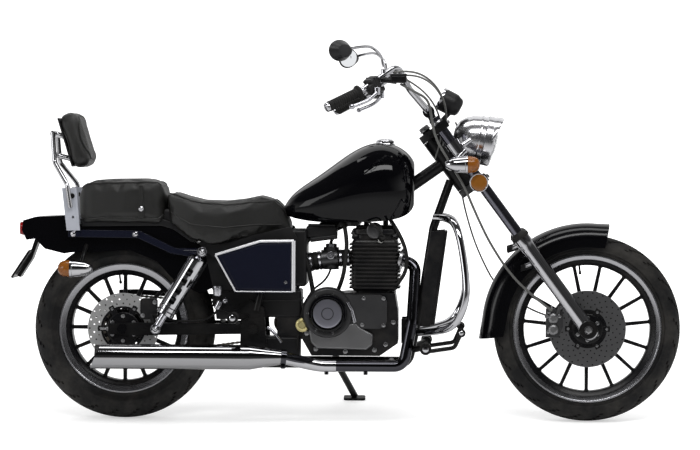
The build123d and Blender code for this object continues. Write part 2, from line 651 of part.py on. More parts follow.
# ------------------------------------------------------------------------------------ exhaust
header_route = [
    (cylinder_front - 22, -46, 541),
    (200, -58, 520),
    (190, -128, 330),
    (162, -134, 187),
    (-110, -138, 187),
    (muffler_front + 4, -muffler_side, muffler_height),
]
with BuildPart() as exhaust_pipes:
    add_tube(header_route, header_radius, 38)
    for x in (-91, 38):
        add_rod((x, -136, 182), (x, -136, 158), 7)
    add(cylinders.part, mode=Mode.SUBTRACT)

cone_length, lip_rise = 110, 46
with BuildPart() as muffler:
    with BuildSketch(side_plane(0, muffler_height, -muffler_side)):
        with BuildLine():
            Polyline((muffler_front, 0), (muffler_front, header_radius + 3),
                     (muffler_front - cone_length, muffler_radius), (muffler_rear, muffler_radius),
                     (muffler_rear, 0), close=True)
        make_face()
    revolve(axis=Axis((0, -muffler_side, muffler_height), (1, 0, 0)))
    add_plate([(muffler_rear - 10, muffler_height + 60), (muffler_rear + lip_rise, muffler_height + 60),
               (muffler_rear, muffler_height - muffler_radius), (muffler_rear - 10, muffler_height - muffler_radius)],
              side_plane(0, 0, -muffler_side), 200, mode=Mode.SUBTRACT)
    add_rod((muffler_rear - 1, -muffler_side, muffler_height), (muffler_rear + 90, -muffler_side, muffler_height),
            muffler_radius - 3, mode=Mode.SUBTRACT)
    add_rod((muffler_front + 20, -muffler_side, muffler_height), (muffler_front - 14, -muffler_side, muffler_height),
            header_radius + fit, mode=Mode.SUBTRACT)
    add_rod((-330, -muffler_side + muffler_radius - 20, muffler_height + 10), (-330, -pivot_out - 8, 226), 8)
    add(frame_rear_posts.part, mode=Mode.SUBTRACT)
    add(exhaust_pipes.part, mode=Mode.SUBTRACT)

# ------------------------------------------------------------------------------ tank and seats
tank_sections = [            # x, bottom, top, half width, shoulder drop
    (-240, 684, 706, 34, 14),
    (-150, 662, 795, 102, 50),
    (-20, 659, 887, 142, 70),
    (90, 664, 923, 150, 80),
    (160, 680, 898, 122, 70),
    (194, 720, 854, 66, 44),
]
with BuildPart() as fuel_tank:
    for x, bottom, top, half, drop in tank_sections:
        with BuildSketch(Plane(origin=(x, 0, 0), x_dir=(0, 1, 0), z_dir=(1, 0, 0))):
            with BuildLine():
                foot, shoulder = half * 0.72, half * 0.74
                waist = bottom + (top - bottom) * 0.42
                Line((-foot, bottom), (foot, bottom))
                ThreePointArc((foot, bottom), (half, waist), (shoulder, top - drop * 0.5))
                ThreePointArc((shoulder, top - drop * 0.5), (0, top), (-shoulder, top - drop * 0.5))
                ThreePointArc((-shoulder, top - drop * 0.5), (-half, waist), (-foot, bottom))
            make_face()
    loft()
    tunnel = backbone_radius + fit
    ceiling = [(point.X, point.Z + 1.4 * tunnel) for point in map(Vector, reversed(spine_route))]
    add_plate([(ceiling[0][0], 560)] + ceiling + [(ceiling[-1][0], 560)], side_plane(), 2 * tunnel,
              mode=Mode.SUBTRACT)

cap_x = 96
with BuildPart() as tank_cap:
    add_rod((cap_x, 0, 910), (cap_x, 0, 934), 31)
    add(fuel_tank.part, mode=Mode.SUBTRACT)


def pad(side_points, plan_points, depth, left=0):
    """A solid with the given outline from the side and the given outline from above."""
    with BuildSketch(side_plane()) as profile:
        with BuildLine():
            Polyline(*side_points, close=True)
        make_face()
    extrude(profile.sketch, amount=depth, both=True)
    with BuildSketch(Plane.XY) as plan:
        with BuildLine():
            Polyline(*(plan_points + [(x, -y) for x, y in reversed(plan_points)]), close=True)
        make_face()
    extrude(plan.sketch, amount=1400, mode=Mode.INTERSECT)


rider_side = [(-622, 759), (-561, 739), (-506, 726), (-430, 724), (-369, 731), (-304, 745), (-262, 733),
              (-236, 708), (-212, 660), (-205, 632), (-316, 609), (-420, 590), (-480, 582), (-539, 601), (-612, 656)]
rider_plan = [(-622, 120), (-560, 140), (-440, 142), (-330, 118), (-240, 80), (-205, 62)]
with BuildPart() as rider_seat:
    pad(rider_side, rider_plan, 200)
    add(fuel_tank.part, mode=Mode.SUBTRACT)
    add(frame_spine.part, mode=Mode.SUBTRACT)

pillion_side = [(-922, 744), (-908, 774), (-880, 790), (-820, 795), (-700, 797), (-650, 791), (-627, 772),
                (-626, 670), (-640, 650), (-896, 650), (-918, 672)]
pillion_plan = [(-926, 80), (-900, 112), (-760, 124), (-640, 118), (-626, 104)]
with BuildPart() as pillion_seat:
    pad(pillion_side, pillion_plan, 200)

back_low, back_high, back_thick, back_half = (-903, 836), (-958, 1018), 66, 112
back_tilt = degrees(atan2(back_low[0] - back_high[0], back_high[1] - back_low[1]))
with BuildPart() as backrest_pad:
    back_plane = Plane(origin=((back_low[0] + back_high[0]) / 2, 0, (back_low[1] + back_high[1]) / 2),
                       x_dir=(0, 1, 0), z_dir=(cos(radians(back_tilt)), 0, sin(radians(back_tilt))))
    with BuildSketch(back_plane):
        RectangleRounded(2 * back_half, hypot(back_high[0] - back_low[0], back_high[1] - back_low[1]), 38)
    extrude(amount=back_thick / 2, both=True)
    chamfer(backrest_pad.faces().filter_by(Plane(origin=back_plane.origin, z_dir=back_plane.z_dir)).edges(), 14)

strap_thickness = 6
luggage_hole = (-931, 672)
luggage_radius = 4.5
strap_y = pillion_plan[2][1] + strap_thickness / 2 + 1
with BuildPart() as sissy_plates:
    for side in (RIGHT, LEFT):
        add_plate([(-968, 768), (-920, 768), (-908, 628), (-952, 628)], side_plane(0, 0, side * strap_y),
                  strap_thickness)
        add_rod((luggage_hole[0], side * (strap_y - 9), luggage_hole[1]),
                (luggage_hole[0], side * (strap_y + 9), luggage_hole[1]), luggage_radius, mode=Mode.SUBTRACT)

bar_y = strap_y + strap_thickness / 2 + 8
with BuildPart() as sissy_bar:
    for side in (RIGHT, LEFT):
        add_tube([(-938, side * bar_y, 704), (-950, side * bar_y, 780),
                  (-1000, side * 70, 852), (-1008, side * 62, 952)], 8, 24)
    for x, z, reach in ((-1008, 948, 44), (-1002, 876, 56)):
        add_rod((x, -66, z), (x, 66, z), 8)
        add_rod((x - 6, 0, z + 2), (x + reach, 0, z - 14), 9)
    add(backrest_pad.part, mode=Mode.SUBTRACT)

# --------------------------------------------------------------------------- rear of the frame
cover_y, cover_thickness = 150, 12
cover_outline = [(-463, 554), (-311, 601), (-195, 603), (-195, 426), (-394, 426)]
with BuildPart() as side_covers:
    for side in (RIGHT, LEFT):
        add_plate(cover_outline, side_plane(0, 0, side * cover_y), cover_thickness)

with BuildPart() as battery_tray:
    add_plate([(-430, 548), (-330, 578), (-205, 590), (-205, 434), (-388, 434)], side_plane(),
              2 * (cover_y - cover_thickness / 2 - fit))
    add_plate([(-460, 620), (-180, 620), (-180, 400), (-460, 400)], side_plane(), 2 * 60,
              mode=Mode.SUBTRACT)
    add(frame_spine.part, mode=Mode.SUBTRACT)
    add(frame_rear_posts.part, mode=Mode.SUBTRACT)

rear_clear = rear_radius + 20
fender_top = [(-1106, 628), (-1101, 660), (-1060, 672), (-960, 677), (-930, 649), (-630, 649), (-560, 606),
              (-500, 570), (-470, 440)]
fender_low = [(-512, 420), (-594, 459), (-655, 525), (-748, 564), (-850, 556), (-943, 554), (-964, 550),
              (-1029, 566), (-1061, 599), (-1090, 595)]
with BuildPart() as rear_fender:
    add_plate(fender_top + fender_low, side_plane(), 2 * rear_fender_half)
    with BuildSketch(side_plane(rear_x, rear_radius)):
        Circle(rear_clear)
    extrude(amount=rear_fender_half - fender_wall, both=True, mode=Mode.SUBTRACT)
    add_plate([(-1200, 500), (-1200, 600), (-940, 634), (rear_x, 634), (rear_x, 500)], side_plane(),
              2 * (rear_fender_half - fender_wall), mode=Mode.SUBTRACT)
    add(frame_spine.part, mode=Mode.SUBTRACT)
    add(rider_seat.part, mode=Mode.SUBTRACT)

rail_y = rear_fender_half + 12
with BuildPart() as fender_rails:
    for side in (RIGHT, LEFT):
        add_tube([(-940, side * rail_y, 618), (-716, side * rail_y, 616), (-600, side * rail_y, 560),
                  (shock_top[0] - 6, side * rail_y, shock_top[1])], 11, 60)
        for x in (-918, -722):
            add_rod((x, side * (rail_y - 11), 617), (x, side * (rail_y + 17), 617), 10)
        add_rod((shock_top[0], side * (rail_y - 12), shock_top[1]),
                (shock_top[0], side * (shock_y - 16), shock_top[1]), 12)

tail_x, tail_z = -1108, 632
with BuildPart() as tail_lamp:
    with BuildSketch(Plane(origin=(tail_x + 12, 0, tail_z), x_dir=(0, 1, 0), z_dir=(-1, 0, 0))):
        RectangleRounded(120, 50, 18)
    extrude(amount=22, taper=12)
    add(rear_fender.part, mode=Mode.SUBTRACT)

with BuildPart() as plate_bracket:
    add_plate([(-1040, 640), (-1056, 640), (-1092, 534), (-1130, 474), (-1120, 468), (-1080, 530)], side_plane(), 60)
    with BuildSketch(Plane(origin=(-1110, 0, 514), x_dir=(0, 1, 0), z_dir=(-0.83, 0, 0.55))):
        RectangleRounded(190, 110, 8)
    extrude(amount=3, both=True)
    add(rear_fender.part, mode=Mode.SUBTRACT)

signal_rear = (-866, 152, 503)
with BuildPart() as rear_signals:
    for side in (RIGHT, LEFT):
        with BuildSketch(side_plane(signal_rear[0], signal_rear[2], side * signal_rear[1])):
            with BuildLine():
                Polyline((-4, 0), (-4, 12), (-26, 24), (-70, 27), (-100, 26), (-110, 16), (-113, 0), close=True)
            make_face()
        revolve(axis=Axis((signal_rear[0], side * signal_rear[1], signal_rear[2]), (1, 0, 0)))
        add_rod((-894, side * (rear_fender_half - 2), 578), (-900, side * (signal_rear[1] - 12), 510), 8)
    add(rear_fender.part, mode=Mode.SUBTRACT)

with BuildPart() as crash_bars:
    for side in (RIGHT, LEFT):
        add_tube([(266, side * 50, 676), (322, side * 180, 676), (370, side * 250, 470), (330, side * 230, 330),
                  (240, side * 110, 298), (204, side * 74, 294)], 12, 30)
    add(frame_cradle.part, mode=Mode.SUBTRACT)
    add(radiator_panel.part, mode=Mode.SUBTRACT)

peg_front, peg_rear = (196, 232, 252), (-392, 238, 330)
with BuildPart() as foot_pegs:
    for side in (RIGHT, LEFT):
        add_rod((down_foot[0] + 8, side * 80, 236), (peg_front[0] + 40, side * 160, peg_front[2]), 10)
        add_rod((peg_front[0] + 40, side * 152, peg_front[2]), (peg_front[0] + 40, side * 270, peg_front[2]), 16)
        add_rod((pivot_x - 20, side * (pivot_out + 8), pivot_z + 40), (peg_rear[0], side * 200, peg_rear[2] + 20), 9)
        add_rod((peg_rear[0], side * 192, peg_rear[2] + 20), (peg_rear[0], side * 286, peg_rear[2] + 20), 15)
    add(frame_cradle.part, mode=Mode.SUBTRACT)
    add(frame_rear_posts.part, mode=Mode.SUBTRACT)
    add(crash_bars.part, mode=Mode.SUBTRACT)
    add(exhaust_pipes.part, mode=Mode.SUBTRACT)

with BuildPart() as foot_controls:
    for side in (RIGHT, LEFT):
        add_tube([(236, side * 150, 236), (330, side * 150, 250), (352, side * 162, 300)], 7, 20)
        add_rod((352, side * 150, 302), (352, side * 214, 302), 11)
    add(foot_pegs.part, mode=Mode.SUBTRACT)
    add(crash_bars.part, mode=Mode.SUBTRACT)

with BuildPart() as drive_chain:
    gap = 5
    with BuildSketch(side_plane(0, 0, chain_y)):
        with BuildLine():
            rear_r, front_r = sprocket_radius + gap + chain_depth, drive_radius + chain_depth
            Polyline((rear_x, rear_radius + rear_r), (drive_x, drive_z + front_r),
                     (drive_x, drive_z - front_r), (rear_x, rear_radius - rear_r), close=True)
        make_face()
        with Locations((rear_x, rear_radius)):
            Circle(sprocket_radius + gap + chain_depth)
        with Locations((drive_x, drive_z)):
            Circle(drive_radius + chain_depth)
    extrude(amount=chain_width / 2, both=True)
    with BuildSketch(side_plane(0, 0, chain_y)):
        with BuildLine():
            rear_r, front_r = sprocket_radius + gap, drive_radius
            Polyline((rear_x, rear_radius + rear_r), (drive_x, drive_z + front_r),
                     (drive_x, drive_z - front_r), (rear_x, rear_radius - rear_r), close=True)
        make_face()
        with Locations((rear_x, rear_radius)):
            Circle(sprocket_radius + gap)
        with Locations((drive_x, drive_z)):
            Circle(drive_radius)
    extrude(amount=chain_width, both=True, mode=Mode.SUBTRACT)
    add_rod((drive_x, chain_y - chain_width / 2, drive_z), (drive_x, chain_y + 3, drive_z), drive_radius)
    add_rod((drive_x, chain_y - chain_width / 2, drive_z), (drive_x, chain_y + chain_width, drive_z), 13)

with BuildPart() as rear_calliper:
    with BuildSketch(side_plane(rear_x + 86, rear_radius + 66, -(rear_disc_side + disc_thickness / 2))):
        RectangleRounded(56, 70, 10)
    extrude(amount=13, both=True)
    add_rod((rear_x + 96, -rear_disc_side - 8, rear_radius + 44), (rear_x + 104, -swingarm_half, rear_radius + 14), 9)
    with BuildSketch(side_plane(rear_x, rear_radius, -(rear_disc_side + disc_thickness / 2))):
        Circle(rear_disc_radius + 3)
    extrude(amount=disc_thickness / 2 + 1.5, both=True, mode=Mode.SUBTRACT)
    add(swingarm.part, mode=Mode.SUBTRACT)

# ---------------------------------------------------------------------------------- side stand
lean_tan = tan(radians(lean_angle))
foot_left = stand_pivot[1] + stand_reach[1]
foot_floor = foot_left * lean_tan
foot_point = Vector(stand_pivot[0] + stand_reach[0], foot_left, foot_floor + foot_thickness + 4)
pivot_point = Vector(*stand_pivot)
down_way = (foot_point - pivot_point).normalized()
stow_way = Vector(-200, 34, 12).normalized()
hinge_way = down_way.cross(stow_way).normalized()
boss_half = stand_radius + 1
with BuildPart() as stand_leg:
    add_rod(pivot_point - hinge_way * boss_half, pivot_point + hinge_way * boss_half, 17)
    add_rod(pivot_point + down_way * 8, foot_point, stand_radius)
    foot_plane = Plane(origin=(foot_point.X, foot_point.Y, foot_floor),
                       x_dir=(1, 0, 0), z_dir=(0, -sin(radians(lean_angle)), cos(radians(lean_angle))))
    with BuildSketch(foot_plane):
        RectangleRounded(foot_length, foot_width, 10)
    extrude(amount=foot_thickness)
    add_rod(pivot_point - hinge_way * 20, pivot_point + hinge_way * 20, 6 + running, mode=Mode.SUBTRACT)

with BuildPart() as stand_bracket:
    add_rod(pivot_point - hinge_way * (boss_half + fit), pivot_point - hinge_way * (boss_half + 8), 18)
    add_rod(pivot_point - hinge_way * (boss_half + 8), pivot_point + hinge_way * (boss_half + 5), 6)
    add_rod(pivot_point + hinge_way * (boss_half + fit), pivot_point + hinge_way * (boss_half + 6), 11)
    lug = pivot_point - hinge_way * (boss_half + 14)
    add_rod(lug, (lug.X - 10, cradle_half, cradle_height), 10)
    add_rod(lug + hinge_way * 8, lug, 10)
    add(frame_cradle.part, mode=Mode.SUBTRACT)

# --------------------------------------------------------------------------- leaning and export
crown = (front_width + rear_width) / 4
sink = crown * (1 - cos(radians(lean_angle)))
upright_pieces = {
    "frame_spine": frame_spine, "frame_cradle": frame_cradle, "frame_rear_posts": frame_rear_posts,
    "radiator_panel": radiator_panel, "swingarm": swingarm, "rear_spindle": rear_spindle,
    "shock_absorbers": shock_absorbers, "crankcase": crankcase, "clutch_cover": clutch_cover,
    "generator_cover": generator_cover, "cylinders": cylinders, "head_cover": head_cover,
    "engine_mounts": engine_mounts, "carburettor": carburettor, "exhaust_pipes": exhaust_pipes,
    "muffler": muffler, "fuel_tank": fuel_tank, "tank_cap": tank_cap, "rider_seat": rider_seat,
    "pillion_seat": pillion_seat, "backrest_pad": backrest_pad, "sissy_bar": sissy_bar,
    "sissy_plates": sissy_plates,
    "side_covers": side_covers, "battery_tray": battery_tray, "rear_fender": rear_fender,
    "fender_rails": fender_rails, "tail_lamp": tail_lamp, "plate_bracket": plate_bracket,
    "rear_signals": rear_signals, "crash_bars": crash_bars, "foot_pegs": foot_pegs,
    "foot_controls": foot_controls, "drive_chain": drive_chain, "rear_calliper": rear_calliper,
    "stand_bracket": stand_bracket,
    "steering_clamps": steering_clamps, "fork_tubes": fork_tubes, "fork_sliders": fork_sliders,
    "front_spindle": front_spindle, "handlebar": handlebar, "grips": grips, "bar_controls": bar_controls,
    "mirrors": mirrors, "headlight": headlight, "lamp_brackets": lamp_brackets,
    "front_signals": front_signals, "fork_reflectors": fork_reflectors, "speedometer": speedometer, "front_fender": front_fender,
    "front_calliper": front_calliper,
    "front_tyre": front_tyre, "front_rim_and_hub": front_rim_and_hub, "front_disc": front_disc,
    "rear_tyre": rear_tyre, "rear_rim_and_hub": rear_rim_and_hub, "rear_disc": rear_disc,
    "rear_sprocket": rear_sprocket,
    "stand_leg": stand_leg,
}
parked = Location((-origin_forward, -origin_left, sink)) * Location((0, 0, 0), (-lean_angle, 0, 0))
for name, piece in upright_pieces.items():
    piece.part = piece.part.moved(parked)
    piece.part.label = name
    export_step(piece.part, f"parts/{name}.step")
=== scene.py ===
"""Cruiser motorcycle, parked on its side stand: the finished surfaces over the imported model.

Pieces are modelled upright, in millimetres: X forward from the middle of the wheelbase, Y to the
rider's left and Z up from the ground line. settle() then leans each one with the machine.
"""

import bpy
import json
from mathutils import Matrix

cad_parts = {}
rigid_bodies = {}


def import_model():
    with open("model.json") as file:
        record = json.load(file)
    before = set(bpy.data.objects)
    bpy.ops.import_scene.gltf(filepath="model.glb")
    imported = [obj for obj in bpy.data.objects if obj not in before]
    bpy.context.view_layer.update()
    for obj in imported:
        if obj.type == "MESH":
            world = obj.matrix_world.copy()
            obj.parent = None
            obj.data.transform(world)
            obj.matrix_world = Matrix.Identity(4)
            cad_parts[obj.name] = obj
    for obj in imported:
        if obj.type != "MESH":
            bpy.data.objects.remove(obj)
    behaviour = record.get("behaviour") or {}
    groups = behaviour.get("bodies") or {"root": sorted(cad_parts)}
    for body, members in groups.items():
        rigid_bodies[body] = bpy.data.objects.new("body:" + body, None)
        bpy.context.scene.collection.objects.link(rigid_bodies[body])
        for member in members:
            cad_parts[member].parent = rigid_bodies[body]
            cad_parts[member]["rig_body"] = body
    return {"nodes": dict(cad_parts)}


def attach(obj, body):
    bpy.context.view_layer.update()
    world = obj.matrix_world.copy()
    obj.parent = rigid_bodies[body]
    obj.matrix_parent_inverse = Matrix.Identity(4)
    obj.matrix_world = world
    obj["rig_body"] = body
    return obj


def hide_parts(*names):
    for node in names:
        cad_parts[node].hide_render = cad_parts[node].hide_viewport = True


bl_info = {
    "name": "Cruiser Motorcycle",
    "version": (1, 0, 0),
    "blender": (4, 5, 0),
    "location": "View3D > Sidebar > Cruiser",
    "description": "Builds the visible pieces of a cruiser motorcycle over its packed model",
    "category": "Add Mesh",
}

import json
from math import atan2, cos, degrees, hypot, pi, radians, sin, tau
import bpy
import bmesh
from bpy.props import FloatProperty, FloatVectorProperty, IntProperty, PointerProperty
from bpy.types import Operator, Panel, PropertyGroup
from mathutils import Matrix, Vector
from mathutils.bvhtree import BVHTree

for spare in [o for o in bpy.data.objects if o.name in ("Cube", "Light", "Camera")]:
    bpy.data.objects.remove(spare)
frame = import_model()

SIDES = (-1, 1)                   # the machine's right and left
MM, METRE = 0.001, 1000           # a millimetre in metres, a metre in millimetres
PARKED = (Matrix.Translation((0.031, -0.190, 0.000616)) @ Matrix.Rotation(radians(-9), 4, "X")
    @ Matrix.Scale(MM, 4))
FRONT_AXLE, REAR_AXLE = Vector((770, 0, 310)), Vector((-770, 0, 302))
RAKE = radians(36.5)
FORK_WAY = Vector((-sin(RAKE), 0, cos(RAKE)))
FORK_HALF = 102                   # from the centre plane to a fork tube
BACK_TILT = atan2(55, 182)        # of the backrest, away from the upright
MERGE = 0.01                      # corners closer than this become one
ACROSS, RIGHT, UP = (0, 1, 0), (0, -1, 0), (0, 0, 1)


# --- modelling helpers
def deselect():
    if bpy.context.object and bpy.context.object.mode != "OBJECT":
        bpy.ops.object.mode_set(mode="OBJECT")
    bpy.ops.object.select_all(action="DESELECT")


def choose(*pieces):
    """Select these objects alone, the first as the active one."""
    deselect()
    for piece in pieces:
        piece.select_set(True)
    bpy.context.view_layer.objects.active = pieces[0]
    return pieces[0]


def begin(kind, name, **settings):
    """Add a primitive with nothing else selected."""
    deselect()
    getattr(bpy.ops.mesh, f"primitive_{kind}_add")(**settings)
    piece = bpy.context.object
    piece.name = name
    return piece


def edit(piece, mode="FACE"):
    choose(piece)
    bpy.ops.object.mode_set(mode="EDIT")
    bpy.ops.mesh.select_mode(type=mode)
    return bmesh.from_edit_mesh(piece.data)


def pick_faces(piece, test):
    """Select the faces whose centre and normal pass the test, in edit mode."""
    mesh = bmesh.from_edit_mesh(piece.data)
    mesh.normal_update()
    bpy.ops.mesh.select_mode(type="FACE")
    for face in mesh.faces:
        face.select_set(bool(test(face.calc_center_median(), face.normal)))
    bmesh.update_edit_mesh(piece.data)


def top_face(centre, normal):
    return normal.z > 0.9


def edit_whole(piece, mode="FACE"):
    """Edit mode with the whole mesh selected."""
    edit(piece, mode)
    bpy.ops.mesh.select_all(action="SELECT")


def leave():
    bpy.ops.object.mode_set(mode="OBJECT")


def bake(piece, matrix):
    """Put the piece at the matrix and apply that to its mesh."""
    piece.matrix_world = matrix
    choose(piece)
    bpy.ops.object.transform_apply()
    return piece


def axes(x, y, z):
    """The rotation whose columns are these three directions."""
    return Matrix((x, y, z)).transposed().to_4x4()


def turned(direction):
    """A rotation that points Z along the direction and keeps the machine's up in the YZ plane."""
    if tuple(direction) == UP:
        return Matrix.Identity(4)
    return Vector(direction).to_track_quat("Z", "Y").to_matrix().to_4x4()


def put(piece, centre=(0, 0, 0), direction=None):
    """Turn a piece made about Z to the direction, move it to its centre and apply both."""
    turn = turned(direction) if direction is not None else Matrix.Identity(4)
    return bake(piece, Matrix.Translation(Vector(centre)) @ turn)


def modify(piece, kind, **settings):
    """Add a modifier and apply it at once."""
    choose(piece)
    modifier = piece.modifiers.new(kind.lower(), kind)
    for name, value in settings.items():
        setattr(modifier, name, value)
    bpy.ops.object.modifier_apply(modifier=modifier.name)
    return piece


def soften(piece, width, segments=2, angle=35):
    """Round the edges that turn by more than the angle."""
    return modify(piece, "BEVEL", width=width, segments=segments, limit_method="ANGLE",
        angle_limit=radians(angle), harden_normals=False)


def smooth(piece, angle=38):
    choose(piece)
    bpy.ops.object.shade_smooth_by_angle(angle=radians(angle))
    return piece


def cut(piece, cutter, solver="FAST"):
    """Take the cutter's shape out of the piece."""
    modify(piece, "BOOLEAN", operation="DIFFERENCE", object=cutter, solver=solver)
    bpy.data.objects.remove(cutter)


def tidy_normals(piece, merge=MERGE):
    edit_whole(piece)
    bpy.ops.mesh.remove_doubles(threshold=merge)
    bpy.ops.mesh.normals_make_consistent(inside=False)
    leave()
    return piece


def join(name, pieces):
    pieces = list(pieces)
    choose(*pieces)
    if len(pieces) > 1:
        bpy.ops.object.join()
    joined = bpy.context.object
    joined.name = name
    return joined


def copies(piece, places):
    """The piece at each matrix in turn, every copy with its own mesh. The first is moved itself."""
    made = []
    for place in places:
        twin = piece.copy()
        twin.data = piece.data.copy()
        bpy.context.scene.collection.objects.link(twin)
        twin.matrix_world = place
        made.append(twin)
    bpy.data.objects.remove(piece)
    choose(*made)
    bpy.ops.object.transform_apply()
    return made


def both_sides(piece):
    """The piece with its mirror image across the machine's centre plane."""
    choose(piece)
    bpy.ops.object.transform_apply()
    bpy.ops.object.duplicate()
    twin = bpy.context.object
    twin.scale = (1, -1, 1)
    bpy.ops.object.transform_apply()
    edit_whole(twin)
    bpy.ops.mesh.flip_normals()
    leave()
    return join(piece.name, [piece, twin])


def draw(name, points):
    """A chain of vertices through the points, left in edit mode with the last one selected."""
    piece = begin("plane", name, size=1)
    edit_whole(piece, "VERT")
    bpy.ops.mesh.merge(type="CENTER")
    at = Vector((0, 0, 0))
    for number, point in enumerate(points):
        step = Vector(point) - at
        if number:
            bpy.ops.mesh.extrude_vertices_move(TRANSFORM_OT_translate={"value": step})
        else:
            bpy.ops.transform.translate(value=step)
        at = Vector(point)
    return piece


def looped(points):
    """The points with the first one again at the end, so that the line closes."""
    return [*points, points[0]]


def lathe(name, profile, centre=(0, 0, 0), direction=UP, steps=48, sweep=360, start=0):
    """Spin a profile of (radius, height) pairs about the direction through the centre."""
    piece = draw(name, [(radius * cos(radians(start)), radius * sin(radians(start)), height) for radius,
        height in profile])
    bpy.ops.mesh.select_all(action="SELECT")
    bpy.ops.mesh.spin(steps=steps, angle=-radians(sweep), center=(0, 0, 0), axis=UP)
    leave()
    tidy_normals(piece)
    return put(piece, centre, direction)


def slab(name, points, depth, bevel=0, segments=2):
    """A plate: the outline through the points, filled and pushed out by the depth vector."""
    piece = draw(name, points)
    bpy.ops.mesh.select_all(action="SELECT")
    bpy.ops.mesh.edge_face_add()
    bpy.ops.mesh.extrude_region_move(TRANSFORM_OT_translate={"value": Vector(depth)})
    leave()
    tidy_normals(piece)
    return soften(piece, bevel, segments) if bevel else piece


def side_slab(name, outline, y, thickness, bevel=0, segments=2):
    """A plate seen from the side: its outline in X and Z, from y outwards by the thickness."""
    return slab(name, [(x, y, z) for x, z in outline], (0, thickness, 0), bevel, segments)


def block(name, centre, size, bevel=2, segments=3, direction=None):
    piece = begin("cube", name, size=1)
    piece.scale = size
    bpy.ops.object.transform_apply()
    soften(piece, bevel, segments)
    return put(piece, centre, direction)


def rod(name, start, end, radius, bevel=1, sides=28):
    """A round bar with softened ends."""
    start, end = Vector(start), Vector(end)
    length = (end - start).length
    piece = begin("cylinder", name, vertices=sides, radius=radius, depth=length, location=(0, 0, length / 2))
    bpy.ops.object.transform_apply()
    if bevel:
        soften(piece, bevel)
    return put(piece, start, end - start)


def hexagon(name, centre, direction, radius, height):
    """A bolt head: a washer, a hexagon and a domed face."""
    washer = rod(name, (0, 0, 0), (0, 0, height * 0.22), radius * 1.25, height * 0.08, 20)
    head = begin("cylinder", name, vertices=6, radius=radius, depth=height, location=(0, 0, height / 2))
    bpy.ops.object.transform_apply()
    edit(head)
    pick_faces(head, top_face)
    bpy.ops.mesh.inset(thickness=radius * 0.22, depth=0)
    bpy.ops.transform.translate(value=(0, 0, height * 0.14))
    leave()
    return put(join(name, [washer, head]), centre, direction)


def hexagons(name, centres, direction, radius, height):
    head = hexagon(name, (0, 0, 0), direction, radius, height)
    return join(name, copies(head, [Matrix.Translation(Vector(c)) for c in centres]))


def wire(name, points, radius, order=3, sides=3, resolution=6):
    """A round cord or tube along a smooth line that the points control."""
    deselect()
    bpy.ops.curve.primitive_nurbs_path_add()
    piece = bpy.context.object
    piece.name = name
    line = piece.data
    line.splines.clear()
    spline = line.splines.new("NURBS")
    spline.points.add(len(points) - 1)
    for control, point in zip(spline.points, points):
        control.co = (*point, 1)
    spline.order_u = order
    spline.use_endpoint_u = True
    spline.resolution_u = resolution
    line.dimensions = "3D"
    line.bevel_depth = radius
    line.bevel_resolution = sides
    line.use_fill_caps = True
    bpy.ops.object.convert(target="MESH")
    return smooth(bpy.context.object)


def coil(name, start, end, radius, thickness, turns, steps=22, sides=8):
    """A helical spring from start to end, from a ring of its wire swept by a screw."""
    start, end = Vector(start), Vector(end)
    length = (end - start).length
    piece = begin("circle", name, vertices=sides, radius=thickness, location=(radius, 0, 0),
        rotation=(pi / 2, 0, 0))
    bpy.ops.object.transform_apply()
    modify(piece, "SCREW", axis="Z", angle=tau * turns, screw_offset=length, iterations=1,
        steps=steps * turns, render_steps=steps * turns, use_smooth_shade=True, use_merge_vertices=True)
    tidy_normals(piece, 0.001)
    return put(piece, start, end - start)


def wheel_point(axle, radius, angle, y=0):
    return Vector((axle.x + radius * cos(radians(angle)), y, axle.z + radius * sin(radians(angle))))


def on_fork(ahead, left, above):
    """A point ahead of the fork tubes, to the left, and above the front axle along them."""
    return FRONT_AXLE + Vector((cos(RAKE) * ahead - sin(RAKE) * above, left,
        sin(RAKE) * ahead + cos(RAKE) * above))


def settle(piece, finish, body, slot=None, replaces=(), angle=38):
    """Lean the piece with the machine, in metres, and give it its finish and its body."""
    bake(piece, PARKED @ piece.matrix_world)
    bpy.ops.object.shade_smooth_by_angle(angle=radians(angle))
    modify(piece, "WEIGHTED_NORMAL", keep_sharp=True)
    piece.data.materials.clear()
    piece.data.materials.append(material(finish))
    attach(piece, body)
    if replaces:
        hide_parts(*replaces)
    return piece


def group(name, pieces, *where):
    """Join the pieces under the name and settle them."""
    return settle(join(name, pieces), *where)


def upright(node, flat=None):
    """A copy of a CAD node's mesh, merged and standing upright in millimetres, to be modelled on.

    With an angle in degrees, faces that turn by less than it become one.
    """
    source = frame["nodes"][node]
    deselect()
    piece = bpy.data.objects.new(node + "_finished", source.data.copy())
    bpy.context.scene.collection.objects.link(piece)
    piece.data.materials.clear()
    choose(piece)
    if piece.data.has_custom_normals:
        bpy.ops.mesh.customdata_custom_splitnormals_clear()
    bake(piece, PARKED.inverted())
    edit_whole(piece)
    bpy.ops.mesh.remove_doubles(threshold=2 * MERGE)
    leave()
    if flat:
        edit_whole(piece)
        bpy.ops.mesh.dissolve_limited(angle_limit=radians(flat))
        leave()
    return piece


def rounded(node, finish, bevel, segments=2, slot=None, angle=32):
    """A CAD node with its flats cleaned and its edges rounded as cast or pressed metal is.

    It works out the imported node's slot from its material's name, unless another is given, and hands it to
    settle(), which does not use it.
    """
    piece = upright(node, 1.0)
    tidy_normals(soften(piece, bevel, segments, angle))
    packed = frame["nodes"][node]
    slot = slot or packed.data.materials[0].name.split(".")[0]
    return settle(piece, finish, packed["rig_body"], slot, [node])


def keep(node, finish):
    """A CAD node that stays as it is, with this finish."""
    mesh = frame["nodes"][node].data
    mesh.materials.clear()
    mesh.materials.append(material(finish))


